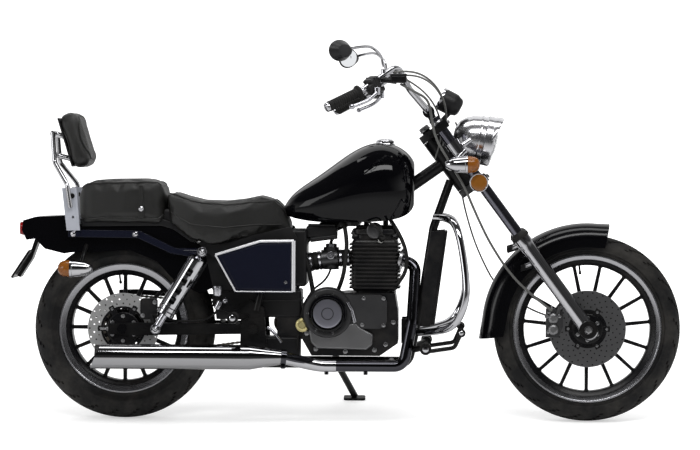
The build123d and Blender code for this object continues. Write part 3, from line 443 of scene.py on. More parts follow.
# --- finishes
def new_group(name, inputs, outputs):
    """A shader node group with these sockets, and its two end nodes."""
    tree = bpy.data.node_groups.new(name, "ShaderNodeTree")
    for label, kind, default in inputs:
        socket = tree.interface.new_socket(label, in_out="INPUT", socket_type=f"NodeSocket{kind}")
        if default is not None:
            socket.default_value = default
    for label, kind in outputs:
        tree.interface.new_socket(label, in_out="OUTPUT", socket_type=f"NodeSocket{kind}")
    return tree, tree.nodes.new("NodeGroupInput"), tree.nodes.new("NodeGroupOutput")


MIX_A, MIX_B, MIX_RESULT = 6, 7, 2        # the colour sockets of a Mix node


def feed(tree, target, links):
    """Link the node's inputs to these sockets, or set them to these values."""
    for name, value in links.items():
        if isinstance(value, bpy.types.NodeSocket):
            tree.links.new(value, target.inputs[name])
        else:
            target.inputs[name].default_value = value


def node(tree, kind, links=None, **settings):
    """A node with its settings, and its inputs as sockets to link or plain values."""
    made = tree.nodes.new(f"ShaderNode{kind}")
    for name, value in settings.items():
        setattr(made, name, value)
    feed(tree, made, links or {})
    return made


def handled_group():
    """Wear from hands and weather: a roughness that varies in soft patches and fine scratches."""
    tree, start, end = new_group("handled_surface", [("Roughness", "Float", 0.3),
        ("Variation", "Float", 0.1), ("Patch Scale", "Float", 14.0), ("Scratch Scale", "Float", 240.0)],
        [("Roughness", "Float"), ("Mask", "Float")])
    place = node(tree, "TexCoord").outputs["Object"]
    patches = node(tree, "TexNoise", {"Vector": place, "Scale": start.outputs["Patch Scale"], "Detail": 4.0,
        "Roughness": 0.6}).outputs["Fac"]
    stretched = node(tree, "Mapping", {"Vector": place, "Scale": (0.22, 1.0, 1.6),
        "Rotation": (0.4, 0.2, 0.9)})
    lines = node(tree, "TexNoise", {"Vector": stretched.outputs["Vector"], "Detail": 3.0,
        "Scale": start.outputs["Scratch Scale"]}).outputs["Fac"]
    both = node(tree, "Math", {0: patches, 1: lines}, operation="ADD").outputs[0]
    centred = node(tree, "Math", {0: both, 1: 1.0}, operation="SUBTRACT").outputs[0]
    spread = node(tree, "Math", {0: centred, 1: start.outputs["Variation"], 2: start.outputs["Roughness"]},
        operation="MULTIPLY_ADD", use_clamp=True).outputs[0]
    feed(tree, end, {"Roughness": spread, "Mask": patches})
    return tree


def cast_group():
    """The skin of cast and moulded pieces: a fine uneven height with broader waves under it."""
    tree, start, end = new_group("cast_skin", [("Grain Scale", "Float", 900.0),
        ("Wave Scale", "Float", 40.0), ("Wave Share", "Float", 0.3)], [("Height", "Float")])
    place = node(tree, "TexCoord").outputs["Object"]
    grain = node(tree, "TexNoise", {"Vector": place, "Scale": start.outputs["Grain Scale"],
        "Detail": 5.0}).outputs["Fac"]
    wave = node(tree, "TexNoise", {"Vector": place, "Scale": start.outputs["Wave Scale"],
        "Detail": 2.0}).outputs["Fac"]
    height = node(tree, "Math", {0: wave, 1: start.outputs["Wave Share"], 2: grain},
        operation="MULTIPLY_ADD").outputs[0]
    feed(tree, end, {"Height": height})
    return tree


def dust_group():
    """Road dust that settles in patches."""
    tree, start, end = new_group("road_dust", [("Color", "Color", (0.02, 0.02, 0.02, 1)),
        ("Dust", "Color", (0.22, 0.2, 0.17, 1)), ("Amount", "Float", 0.2), ("Scale", "Float", 9.0)],
        [("Color", "Color"), ("Mask", "Float")])
    place = node(tree, "TexCoord").outputs["Object"]
    patches = node(tree, "TexNoise", {"Vector": place, "Scale": start.outputs["Scale"], "Detail": 6.0,
        "Roughness": 0.7}).outputs["Fac"]
    sharper = node(tree, "MapRange", {"Value": patches, "From Min": 0.42, "From Max": 0.75}).outputs["Result"]
    mask = node(tree, "Math", {0: sharper, 1: start.outputs["Amount"]}, operation="MULTIPLY",
        use_clamp=True).outputs[0]
    mixed = node(tree, "Mix", {"Factor": mask, MIX_A: start.outputs["Color"], MIX_B: start.outputs["Dust"]},
        data_type="RGBA")
    feed(tree, end, {"Color": mixed.outputs[MIX_RESULT], "Mask": mask})
    return tree


def shared(name):
    makers = {"handled_surface": handled_group, "cast_skin": cast_group, "road_dust": dust_group}
    return bpy.data.node_groups.get(name) or makers[name]()


def group_node(tree, name, **values):
    made = tree.nodes.new("ShaderNodeGroup")
    made.node_tree = shared(name)
    for label, value in values.items():
        made.inputs[label.replace("_", " ").title()].default_value = value
    return made


# grain scale, wave scale, wave share, bump strength, bump distance
PLATED = (30, 12, 1.0, 0.01, 0.0002)
PAINTED = (60, 12, 1.0, 0.02, 0.0002)
PRINTED = (900, 60, 0.3, 0.05, 0.0001)
# name: colour, metallic, roughness, variation, specular level, relief as above or None, dust amount
FINISHES = {
    "gloss_black": ((0.0016, 0.0016, 0.0022), 0, 0.05, 0.04, 0.22, PAINTED, 0),
    "frame_black": ((0.004, 0.004, 0.0045), 0, 0.30, 0.16, 0.2, (700, 60, 0.4, 0.12, 0.0002), 0.04),
    "engine_black": ((0.006, 0.006, 0.007), 0, 0.34, 0.2, 0.28, (850, 90, 0.4, 0.35, 0.0003), 0.10),
    "engine_dark_alloy": ((0.085, 0.085, 0.088), 0.9, 0.36, 0.16, 0.5, (900, 90, 0.4, 0.25, 0.0002), 0.05),
    "cast_alloy": ((0.22, 0.22, 0.225), 0.9, 0.38, 0.2, 0.5, (800, 90, 0.4, 0.22, 0.0002), 0.06),
    "clutch_alloy": ((0.30, 0.30, 0.35), 0.9, 0.3, 0.05, 0.5, (500, 60, 0.4, 0.08, 0.0001), 0.02),
    "chrome": ((0.53, 0.53, 0.55), 1, 0.05, 0.05, 0.5, PLATED, 0),
    "soft_chrome": ((0.62, 0.62, 0.64), 1, 0.22, 0.05, 0.5, PLATED, 0),
    # chrome darkened to stand for the dimmer reflections along the silencer: painted shade
    "muffler_chrome": ((0.36, 0.36, 0.37), 1, 0.07, 0.05, 0.5, PLATED, 0),
    "pale_plate": ((0.52, 0.54, 0.60), 0.35, 0.34, 0.08, 0.5, (300, 40, 0.6, 0.04, 0.0002), 0),
    "trim_bright": ((0.78, 0.78, 0.80), 0.4, 0.22, 0.05, 0.5, PLATED, 0),
    "fender_black": ((0.0016, 0.0016, 0.0022), 0, 0.15, 0.06, 0.24, PAINTED, 0),
    # chrome darkened and tinted slate to stand for the dark reflections down the fork tubes: painted shade
    "tube_slate": ((0.17, 0.17, 0.20), 1, 0.16, 0.06, 0.5, PLATED, 0),
    # a light grey on real cables so that they show as the light lines down the headstock: painted highlight
    "cable_grey": ((0.10, 0.10, 0.095), 0, 0.36, 0.10, 0.5, (900, 60, 0.3, 0.10, 0.0001), 0.02),
    # chrome darkened to stand for dark reflections on the header pipes, their clamps and the rear spindle:
    # painted shade
    "dark_chrome": ((0.06, 0.06, 0.068), 1, 0.10, 0.06, 0.5, PLATED, 0),
    "polished_alloy": ((0.60, 0.60, 0.64), 1, 0.22, 0.16, 0.5, (500, 60, 0.4, 0.06, 0.0001), 0.02),
    "rim_bright": ((0.40, 0.40, 0.42), 1, 0.24, 0.12, 0.5, (420, 40, 0.3, 0.05, 0.0001), 0.03),
    "wheel_black": ((0.004, 0.004, 0.005), 0, 0.28, 0.12, 0.2, (600, 60, 0.4, 0.08, 0.0002), 0.06),
    "disc_steel": ((0.20, 0.20, 0.205), 1, 0.34, 0.14, 0.5, (700, 50, 0.2, 0.08, 0.0001), 0.04),
    "disc_bright": ((0.62, 0.62, 0.62), 0.9, 0.36, 0.10, 0.5, (700, 50, 0.2, 0.08, 0.0001), 0.02),
    "bolt_steel": ((0.42, 0.42, 0.43), 1, 0.28, 0.2, 0.5, (700, 80, 0.4, 0.10, 0.0001), 0.03),
    "tyre": ((0.006, 0.006, 0.0065), 0, 0.6, 0.16, 0.22, (650, 60, 0.5, 0.30, 0.0004), 0.14),
    "rubber": ((0.008, 0.008, 0.008), 0, 0.58, 0.16, 0.2, (800, 60, 0.5, 0.20, 0.0003), 0.05),
    "plastic": ((0.008, 0.008, 0.009), 0, 0.40, 0.12, 0.26, (1100, 80, 0.3, 0.22, 0.0002), 0.03),
    "satin_navy": ((0.005, 0.006, 0.014), 0, 0.20, 0.10, 0.34, (300, 40, 0.6, 0.04, 0.0002), 0),
    "brass": ((0.66, 0.58, 0.28), 0.8, 0.34, 0.14, 0.5, (600, 60, 0.4, 0.08, 0.0001), 0),
    "chain_steel": ((0.20, 0.18, 0.15), 0.9, 0.42, 0.2, 0.5, (800, 100, 0.4, 0.2, 0.0002), 0.15),
    "plate_white": ((0.62, 0.62, 0.60), 0, 0.42, 0.10, 0.5, (500, 60, 0.5, 0.05, 0.0002), 0.05),
    "dial_black": ((0.01, 0.01, 0.011), 0, 0.5, 0.08, 0.5, PRINTED, 0),
    "dial_white": ((0.72, 0.72, 0.70), 0, 0.5, 0.08, 0.5, PRINTED, 0),
    "pointer_red": ((0.55, 0.03, 0.02), 0, 0.45, 0.08, 0.5, PRINTED, 0),
    "reflector_bowl": ((0.80, 0.80, 0.80), 1, 0.10, 0.05, 0.5, (60, 30, 1.0, 0.02, 0.0003), 0),
    "mirror_glass": ((0.80, 0.82, 0.84), 1, 0.02, 0.01, 0.5, None, 0),
}
# name: colour, roughness, transmission, rib scale, rib strength
LENSES = {
    "amber_lens": ((0.36, 0.12, 0.015), 0.12, 0.45, 260, 0.5),
    "amber_reflector": ((0.24, 0.09, 0.012), 0.16, 0.15, 520, 0.6),
    "red_lens": ((0.30, 0.005, 0.005), 0.12, 0.45, 260, 0.5),
    "clear_lens": ((0.96, 0.97, 0.98), 0.03, 0.95, 150, 0.25),
    "dial_glass": ((0.98, 0.98, 0.98), 0.01, 0.98, 40, 0),
}


def leather(tree, shader, sizes):
    """Soft grained cover: cells with creases between them, over slow waves."""
    place = node(tree, "TexCoord").outputs["Object"]
    bent = node(tree, "TexNoise", {"Vector": place, "Scale": 55.0, "Detail": 3.0})
    shifted = node(tree, "VectorMath", {0: bent.outputs["Color"], "Scale": 0.006},
        operation="SCALE").outputs[0]
    warped = node(tree, "VectorMath", {0: place, 1: shifted}, operation="ADD").outputs[0]
    cells = node(tree, "TexVoronoi", {"Vector": warped, "Scale": sizes.leather_grain},
        feature="DISTANCE_TO_EDGE")
    crease = node(tree, "MapRange", {"Value": cells.outputs["Distance"], "From Max": 0.12}).outputs["Result"]
    fine = group_node(tree, "cast_skin", grain_scale=1500, wave_scale=18, wave_share=1.6).outputs["Height"]
    height = node(tree, "Math", {0: crease, 1: 0.7, 2: fine}, operation="MULTIPLY_ADD").outputs[0]
    bump = node(tree, "Bump", {"Height": height, "Strength": 0.35, "Distance": 0.0006})
    wear = group_node(tree, "handled_surface", roughness=0.40, variation=0.20, patch_scale=10)
    dark, plain, pale = [(*[c * share for c in sizes.leather_color], 1) for share in (0.6, 1, 1.7)]
    shade = node(tree, "Mix", {"Factor": wear.outputs["Mask"], MIX_A: plain, MIX_B: pale}, data_type="RGBA")
    creased = node(tree, "Mix", {"Factor": crease, MIX_A: dark, MIX_B: shade.outputs[MIX_RESULT]},
        data_type="RGBA")
    feed(tree, shader, {"Base Color": creased.outputs[MIX_RESULT], "Roughness": wear.outputs["Roughness"],
        "Normal": bump.outputs["Normal"]})


def lens(tree, shader, name):
    """Moulded lens: vertical ribs across its thickness."""
    color, roughness, transmission, scale, strength = LENSES[name]
    feed(tree, shader, {"Base Color": (*color, 1), "Roughness": roughness,
        "Transmission Weight": transmission, "IOR": 1.46})
    if strength:
        place = node(tree, "TexCoord").outputs["Object"]
        ribs = node(tree, "TexWave", {"Vector": place, "Scale": scale / 20, "Distortion": 0.2},
            bands_direction="Y", wave_profile="SIN")
        bump = node(tree, "Bump", {"Height": ribs.outputs["Fac"], "Strength": strength, "Distance": 0.001})
        feed(tree, shader, {"Normal": bump.outputs["Normal"]})


def material(name):
    """The finish of that name, made when a piece first asks for it."""
    label = "finish_" + name
    if label in bpy.data.materials:
        return bpy.data.materials[label]
    sizes = bpy.context.scene.cruiser_sizes
    made = bpy.data.materials.new(label)
    made.use_nodes = True
    tree = made.node_tree
    shader = tree.nodes["Principled BSDF"]
    if name == "leather":
        leather(tree, shader, sizes)
        return made
    if name in LENSES:
        lens(tree, shader, name)
        return made
    color, metallic, roughness, variation, specular, relief, dust = FINISHES[name]
    if name in ("gloss_black", "fender_black"):
        color = tuple(sizes.paint_color)
    if name == "chrome":
        roughness = sizes.chrome_roughness
    wear = group_node(tree, "handled_surface", roughness=roughness, variation=variation)
    base = (*color, 1)
    if dust:
        base = group_node(tree, "road_dust", color=base, amount=dust).outputs["Color"]
    feed(tree, shader, {"Base Color": base, "Metallic": metallic, "Roughness": wear.outputs["Roughness"],
        "Specular IOR Level": specular})
    if relief:
        grain, wave, share, strength, distance = relief
        skin = group_node(tree, "cast_skin", grain_scale=grain, wave_scale=wave, wave_share=share)
        bump = node(tree, "Bump", {"Height": skin.outputs["Height"], "Strength": strength,
            "Distance": distance})
        feed(tree, shader, {"Normal": bump.outputs["Normal"]})
    return made


# --- pieces kept as packed
CARRIED = {                  # finish: nodes
    "tube_slate": ("fork_tubes",),
    "chrome": ("front_spindle",),
    "frame_black": ("frame_spine", "frame_cradle", "frame_rear_posts", "stand_bracket", "foot_pegs",
                    "foot_controls", "engine_mounts"),
    "plastic": ("battery_tray",),
}


def build_carried():
    for finish, names in CARRIED.items():
        for name in names:
            keep(name, finish)


# --- wheels
def build_tyre(name, axle, radius, width, rim, body, depth):
    """Round-crowned tyre: ribbed sidewalls and slanted grooves either side of a centre rib."""
    half, crown = width / 2, radius - width / 2
    bead = 0.36 * width
    side = [(rim - 5, bead - 3), (rim + 1, bead + 1), (rim + 5, bead + 4.5), (rim + 8, bead + 5),
        (rim + 11, bead + 4.5), (crown - 6, half - 1.2), (crown - 4, half - 0.2), (crown - 1, half - 1.0)]
    arc = [8 + 6.6 * step for step in range(12)]
    over = [(crown + half * sin(radians(a)), half * cos(radians(a))) for a in arc]
    band = [(crown + half * sin(radians(87)) - 0.2, half * cos(radians(86.6)))]
    up = side + over + band
    outer = [(r, -h) for r, h in up] + [(r, h) for r, h in reversed(up)]
    inner = [(rim + 6, bead - 8), (crown, half - 9), (crown + half - 9, 0), (crown, 9 - half),
        (rim + 6, 8 - bead)]
    steps = 150
    tyre = lathe(name, looped(outer + inner), steps=steps)
    edit(tyre)

    def groove(centre, normal):
        out = hypot(centre.x, centre.y)
        if out < crown + half * 0.42 or normal.dot(Vector((centre.x, centre.y, 0))) < 0:
            return False
        row = int(abs(centre.z) / (half * 0.115))
        turn = (degrees(atan2(centre.y, centre.x)) + 360) % 360 / 360 * steps
        slant = row * 0.8 + (3 if centre.z > 0 else 0)
        return row > 0 and int(turn + slant) % 6 == 0

    pick_faces(tyre, groove)
    bpy.ops.mesh.extrude_region_shrink_fatten(TRANSFORM_OT_shrink_fatten={"value": -depth * METRE})
    leave()
    put(tyre, axle, ACROSS)
    return settle(tyre, "tyre", body, "tyre_rubber", [name.replace("_treaded", "")], 30)


def spoke_set(name, axle, hub, rim, count, root, tip, thickness):
    spoke = begin("cube", name, size=1)
    spoke.scale = (root, thickness, rim - hub)
    bpy.ops.object.transform_apply()
    spoke.location = (0, 0, (rim + hub) / 2)
    bpy.ops.object.transform_apply()
    edit(spoke)
    pick_faces(spoke, top_face)
    bpy.ops.transform.resize(value=(tip / root, 0.8, 1))
    bpy.ops.mesh.extrude_region_move(TRANSFORM_OT_translate={"value": (0, 0, 5)})
    bpy.ops.transform.resize(value=(2.4, 1.3, 1))
    leave()
    soften(spoke, 2.0, 2, 20)
    places = [Matrix.Translation(axle) @ Matrix.Rotation(radians(180 + 360 * k / count), 4, "Y")
        for k in range(count)]
    return join(name, copies(spoke, places))


def build_rim(prefix, axle, edge, lip_outer, lip_inner, opening, spokes, hub, hub_profile, spoke_size):
    """Black cast wheel with a bright machined lip on each side."""
    body = prefix + "_wheel"
    lips = []
    for side in SIDES:
        lips.append(lathe(prefix + "_rim_lips", looped([(lip_outer - 2, side * (edge - 5)),
            (lip_outer, side * (edge + 1)), (lip_outer - 1, side * (edge + 3.2)),
            (lip_outer - 5, side * (edge + 3.4)), (lip_outer - 7, side * (edge + 1.5)),
            (lip_inner + 2, side * (edge - 1)), (lip_inner, side * (edge - 4)),
            (lip_inner + 1, side * (edge - 9))]), axle, ACROSS, 120))
    group(prefix + "_rim_lips", lips, "rim_bright", body, "rim_alloy")
    well = lathe(prefix + "_wheel_casting", looped([(lip_outer - 3, 6 - edge), (lip_inner + 1.5, 5 - edge),
        (lip_inner - 6, 11 - edge), (opening + 4, 14 - edge), (opening, 20 - edge), (opening, edge - 20),
        (opening + 4, edge - 14), (lip_inner - 6, edge - 11), (lip_inner + 1.5, edge - 5),
        (lip_outer - 3, edge - 6)]), axle, ACROSS, 120)
    centre = lathe(prefix + "_hub", looped(hub_profile), axle, ACROSS, 72)
    arms = spoke_set(prefix + "_spokes", axle, hub - 4, opening - 3, spokes, *spoke_size)
    casting = join(prefix + "_wheel_casting", [well, centre, arms])
    settle(casting, "wheel_black", body, "rim_alloy", [prefix + "_rim_and_hub"])
    valve = rod(prefix + "_valve", wheel_point(axle, opening + 2, 97, 12),
        wheel_point(axle, opening - 26, 97, 16), 3.2, 0.8, 14)
    cap = rod(prefix + "_valve", wheel_point(axle, opening - 20, 97, 15),
        wheel_point(axle, opening - 30, 97, 17), 4.6, 1, 14)
    group(prefix + "_valve", [valve, cap], "rubber", body, "black_rubber")


def drilled_disc(name, axle, outer, inner, face, thickness, rows, holes, drill_radius, body, node_name,
        carrier_radius, finish="disc_steel"):
    """Brake disc with rows of drilled holes on a black carrier held by buttons and bolts."""
    band = lathe(name, looped([(inner, -thickness / 2), (outer - 1, -thickness / 2),
        (outer, 0.8 - thickness / 2), (outer, thickness / 2 - 0.8), (outer - 1, thickness / 2),
        (inner, thickness / 2)]), (axle.x, face, axle.z), ACROSS, 96)
    drills = []
    for row in range(rows):
        out = inner + 9 + (outer - inner - 16) * row / (rows - 1)
        drill = begin("cylinder", "drill", vertices=10, radius=drill_radius, depth=30,
            rotation=(pi / 2, 0, 0))
        drills += copies(drill, [Matrix.Translation(wheel_point(axle, out, 360 * (k + row * 0.5) / holes,
            face)) @ Matrix.Rotation(pi / 2, 4, "X") for k in range(holes)])
    cut(band, join("drill", drills))
    settle(band, finish, body, "disc_steel", [node_name], 30)
    arm = block("arm", (0, 0, (inner + 10 + 20) / 2), (20, 6, inner - 8), 2)
    arms = copies(arm, [Matrix.Translation((axle.x, face, axle.z))
        @ Matrix.Rotation(radians(60 * k + 30), 4, "Y") for k in range(6)])
    middle = lathe("boss", looped([(12, -6), (carrier_radius, -6), (carrier_radius + 4, -3),
        (carrier_radius + 4, 3), (carrier_radius, 5), (12, 5)]), (axle.x, face, axle.z), ACROSS, 60)
    ring = lathe("ring", looped([(inner - 7, -2.4), (inner + 3, -2.4), (inner + 3, 2.6), (inner - 7, 2.6)]),
        (axle.x, face, axle.z), ACROSS, 72)
    group(name + "_carrier", arms + [middle, ring], "wheel_black", body, "frame_black")
    heads = hexagons(name + "_bolts", [wheel_point(axle, carrier_radius - 9, 60 * k + 30, face - 5)
        for k in range(6)], RIGHT, 5.5, 5)
    buttons = [rod("button", wheel_point(axle, inner, 60 * k, face - 3.5),
        wheel_point(axle, inner, 60 * k, face + 3.5), 5, 1, 18) for k in range(6)]
    group(name + "_bolts", [heads] + buttons, "bolt_steel", body, "polished_alloy")


def build_front_wheel():
    sizes = bpy.context.scene.cruiser_sizes
    build_tyre("front_tyre_treaded", FRONT_AXLE, 310, 90, 244, "front_wheel", sizes.tread_depth)
    build_rim("front", FRONT_AXLE, 36, 247, 228, 209, sizes.front_spokes, 46,
        [(9.5, -47), (26, -47), (30, -44), (44, -43), (47, -40), (47, -31), (38, -24), (36, 0), (38, 24),
        (47, 31), (47, 40), (44, 43), (30, 44), (26, 47), (9.5, 47)], (14, 11, 19))
    drilled_disc("front_disc_drilled", FRONT_AXLE, 127, 64, -60.5, 5, 5, 22, 2.5, "front_wheel",
        "front_disc", 46)
    # A thin black ring inside the disc makes the drilled holes read dark from either side: painted shade, not
    # a real core of the disc.
    hole_shade_ring = lathe("front_disc_core", looped([(20, -61.1), (124.5, -61.1), (124.5, -59.9), (20, -59.9)]),
        FRONT_AXLE, ACROSS, 72)
    settle(hole_shade_ring, "wheel_black", "front_wheel", "disc_steel")
    spacer = lathe("front_disc_spacer", looped([(20, -58), (39, -58), (39, -46), (20, -46)]), FRONT_AXLE,
        ACROSS, 40)
    settle(spacer, "frame_black", "front_wheel", "frame_black")


def build_rear_wheel():
    sizes = bpy.context.scene.cruiser_sizes
    build_tyre("rear_tyre_treaded", REAR_AXLE, 302, 110, 214, "rear_wheel", sizes.tread_depth)
    build_rim("rear", REAR_AXLE, 44, 217, 192, 176, sizes.rear_spokes, 62,
        [(9.5, -47), (34, -47), (40, -44), (58, -43), (62, -39), (62, -30), (52, -22), (50, 0), (52, 22),
        (62, 30), (62, 39), (58, 43), (40, 44), (34, 47), (9.5, 47)], (15, 12, 20))
    drilled_disc("rear_disc_drilled", REAR_AXLE, 118, 74, -70.5, 5, 3, 24, 3.0, "rear_wheel", "rear_disc",
        50, "disc_bright")
    spacer = lathe("rear_disc_spacer", looped([(34, -68), (52, -68), (52, -46), (34, -46)]), REAR_AXLE,
        ACROSS, 40)
    settle(spacer, "frame_black", "rear_wheel", "frame_black")
    build_sprocket()


def build_sprocket():
    """Toothed rear sprocket with round windows, bolted to its carrier."""
    teeth, inner, outer = 38, 85, 92
    outline = []
    for tooth in range(teeth):
        for share, out in ((0.0, inner), (0.22, inner + 0.6), (0.42, outer), (0.58, outer),
                (0.78, inner + 0.6)):
            outline.append(wheel_point(REAR_AXLE, out, 360 * (tooth + share) / teeth, 75))
    gear = slab("rear_sprocket_toothed", outline, (0, 6, 0))
    drill = begin("cylinder", "drill", vertices=24, radius=12, depth=40)
    drills = copies(drill, [Matrix.Translation(wheel_point(REAR_AXLE, 66, 60 * k, 78))
        @ Matrix.Rotation(pi / 2, 4, "X") for k in range(6)])
    bore = begin("cylinder", "drill", vertices=48, radius=31, depth=40, rotation=(pi / 2, 0, 0),
        location=(REAR_AXLE.x, 78, REAR_AXLE.z))
    cut(gear, join("drill", drills + [bore]))
    soften(gear, 0.6, 1, 50)
    settle(gear, "chain_steel", "rear_wheel", "disc_steel", ["rear_sprocket"], 30)
    carrier = lathe("sprocket_carrier", looped([(31, 46.5), (54, 46.5), (56, 50), (54, 70), (56, 75),
        (31, 75)]), REAR_AXLE, ACROSS, 60)
    settle(carrier, "wheel_black", "rear_wheel", "frame_black")
    nuts = hexagons("sprocket_nuts", [wheel_point(REAR_AXLE, 45, 60 * k + 30, 81) for k in range(6)], ACROSS,
        6, 6)
    settle(nuts, "bolt_steel", "rear_wheel", "polished_alloy")


# --- front end
def build_fork():
    leg = lathe("fork_legs", [(0, -36), (12, -36), (20, -33), (25, -27), (27, -18), (27, 14), (26, 22),
        (25, 34), (25, 330), (26.5, 345), (27.5, 352), (27.5, 372), (26, 375), (19.2, 375)], steps=56)
    turn = turned(FORK_WAY)
    legs = copies(leg, [Matrix.Translation((FRONT_AXLE.x, side * FORK_HALF, FRONT_AXLE.z)) @ turn
        for side in SIDES])
    lugs = []
    for side in SIDES:
        for height in (356, 282):
            lugs.append(rod("lug", on_fork(-16, side * 96, height), on_fork(-40, side * 76, height + 6), 8,
                1.5))
    group("fork_legs", legs + lugs, "chrome", "front_end", "chrome", ["fork_sliders"])
    boots = [rod("axle_boots", (770, side * 73, 310), (770, side * 133, 310), 30, 5, 48) for side in SIDES]
    group("axle_boots", boots, "frame_black", "front_end", "frame_black")
    seals = [lathe("seal", looped([(19.2, 372), (29.5, 372), (30.5, 375), (30.5, 383), (28, 387), (24, 392),
        (19.2, 395)]), (FRONT_AXLE.x, side * FORK_HALF, FRONT_AXLE.z), FORK_WAY, 40) for side in SIDES]
    group("fork_seals", seals, "rubber", "front_end", "black_rubber")
    caps = []
    for side in SIDES:
        caps.append(lathe("cap", [(0, 22), (9, 22), (10, 20), (11, 8), (20, 7), (21.5, 5), (21.5, 0),
            (0, 0)], on_fork(0, side * FORK_HALF, 841), FORK_WAY, 32))
        caps.append(hexagon("cap", (770, side * 132, 310), (0, side, 0), 11, 6))
        caps.append(hexagon("cap", on_fork(-24, side * FORK_HALF, 10), (-cos(RAKE), 0, -sin(RAKE)), 5, 5))
    caps.append(hexagon("cap", on_fork(-45, 0, 846), FORK_WAY, 17, 14))
    group("fork_caps", caps, "bolt_steel", "front_end", "chrome")
    rounded("steering_clamps", "frame_black", 3)
    pinch = []
    for side in SIDES:
        for height in (604, 826):
            pinch.append(hexagon("pinch", on_fork(30, side * 122, height), (cos(RAKE), 0, sin(RAKE)), 5.5, 6))
    pinch += [hexagon("pinch", on_fork(12, side * 52 + shift, 905), FORK_WAY, 4.5, 5) for side in SIDES
        for shift in (-9, 9)]
    group("clamp_bolts", pinch, "bolt_steel", "front_end", "chrome")
    build_front_calliper()


def build_front_calliper():
    rounded("front_calliper", "engine_dark_alloy", 3)
    caps = [lathe("piston", [(0, -8), (9, -8), (11, -6), (14, -5), (17, -3), (18, 0), (18, 6)],
        (656, -83, z), ACROSS, 36) for z in (308, 346)]
    group("front_piston_caps", caps, "cast_alloy", "front_end", "polished_alloy")
    heads = hexagons("front_calliper_bolts", [(640, -81, 300), (676, -81, 352), (641, -81, 366)], RIGHT, 5, 5)
    nipple = rod("nipple", (652, -80, 374), (650, -82, 388), 2.6, 0.6, 14)
    banjo = rod("banjo", (634, -80, 352), (634, -90, 352), 7, 1, 18)
    group("front_calliper_bolts", [heads, nipple, banjo], "bolt_steel", "front_end", "polished_alloy")


def build_handlebar():
    keep("handlebar", "chrome")
    grips, weights, housings, levers, buttons = [], [], [], [], []
    for side in SIDES:
        end, bend = Vector((-66, side * 398, 1042)), Vector((32, side * 336, 1092))
        way = (bend - end).normalized()
        profile = [(11.3, -14), (15, -14), (17, -12), (17, -6)]
        for rib in range(12):
            profile += [(17, -4 + rib * 8), (15.6, -2.4 + rib * 8), (15.6, 0.8 + rib * 8),
                (17, 2.4 + rib * 8)]
        profile += [(17, 96), (18, 98), (22, 101), (23, 104), (23, 108), (21, 110), (11.3, 111)]
        grips.append(lathe("ribbed_grips", profile, end, way, 36))
        weights.append(lathe("weight", [(0, -27), (10, -27), (14, -25), (15.5, -22), (15.5, -17), (13, -14),
            (0, -14)], end, way, 32))
        bar_way = (Vector((138, side * 236, 1172)) - bend).normalized()
        switch = block("housing", bend + bar_way * 44, (42, 40, 40), 7, 3, bar_way)
        seam = block("housing", bend + bar_way * 44, (43.5, 43, 3), 1, 1, bar_way)
        perch = block("housing", bend + bar_way * 12 + Vector((16, 0, -4)), (24, 34, 26), 6, 3, bar_way)
        housings += [switch, seam, perch]
        pivot = bend + bar_way * 14 + Vector((34, side * 4, -10))
        tip = end + way * 22 + Vector((46, side * 6, -14))
        middle = (pivot + tip) / 2 + Vector((12, side * 6, -6))
        blade = wire("lever", [pivot, (pivot * 2 + middle) / 3 + Vector((6, 0, 0)), middle,
            (middle + tip * 2) / 3, tip], 6.2, 3, 4)
        blade_ball = lathe("lever", [(0, -9), (5, -8), (8.2, -4), (9, 0), (8.2, 4), (5, 8), (0, 9)], tip,
            tip - middle, 24)
        knob = rod("lever", pivot - Vector((0, 0, 12)), pivot + Vector((0, 0, 12)), 11, 2, 24)
        levers += [blade, blade_ball, knob]
        for number in range(3):
            place = bend + bar_way * (32 + number * 11) + Vector((-19, 0, 10))
            buttons.append(block("button", place, (8, 8, 7), 1.5, 2, (-0.8, 0, 0.5)))
    group("ribbed_grips", grips, "rubber", "front_end", "black_rubber", ["grips"])
    group("bar_end_weights", weights, "chrome", "front_end", "chrome")
    group("switch_housings", housings, "plastic", "front_end", "black_plastic", ["bar_controls"])
    group("hand_levers", levers, "polished_alloy", "front_end", "polished_alloy")
    group("switch_buttons", buttons, "rubber", "front_end", "black_rubber")
    tank = block("brake_reservoir", (144, -302, 1127), (52, 38, 24), 5, 3)
    stalk = rod("brake_reservoir", (138, -300, 1120), (80, -290, 1128), 9, 2)
    group("brake_reservoir", [tank, stalk], "frame_black", "front_end", "frame_black")
    lid = block("reservoir_lid", (144, -302, 1141), (55, 41, 7), 2, 2)
    settle(lid, "plastic", "front_end", "black_plastic")
    screws = hexagons("reservoir_screws", [(124, -302, 1144.5), (164, -302, 1144.5)], UP, 3.4, 2.4)
    settle(screws, "bolt_steel", "front_end", "polished_alloy")


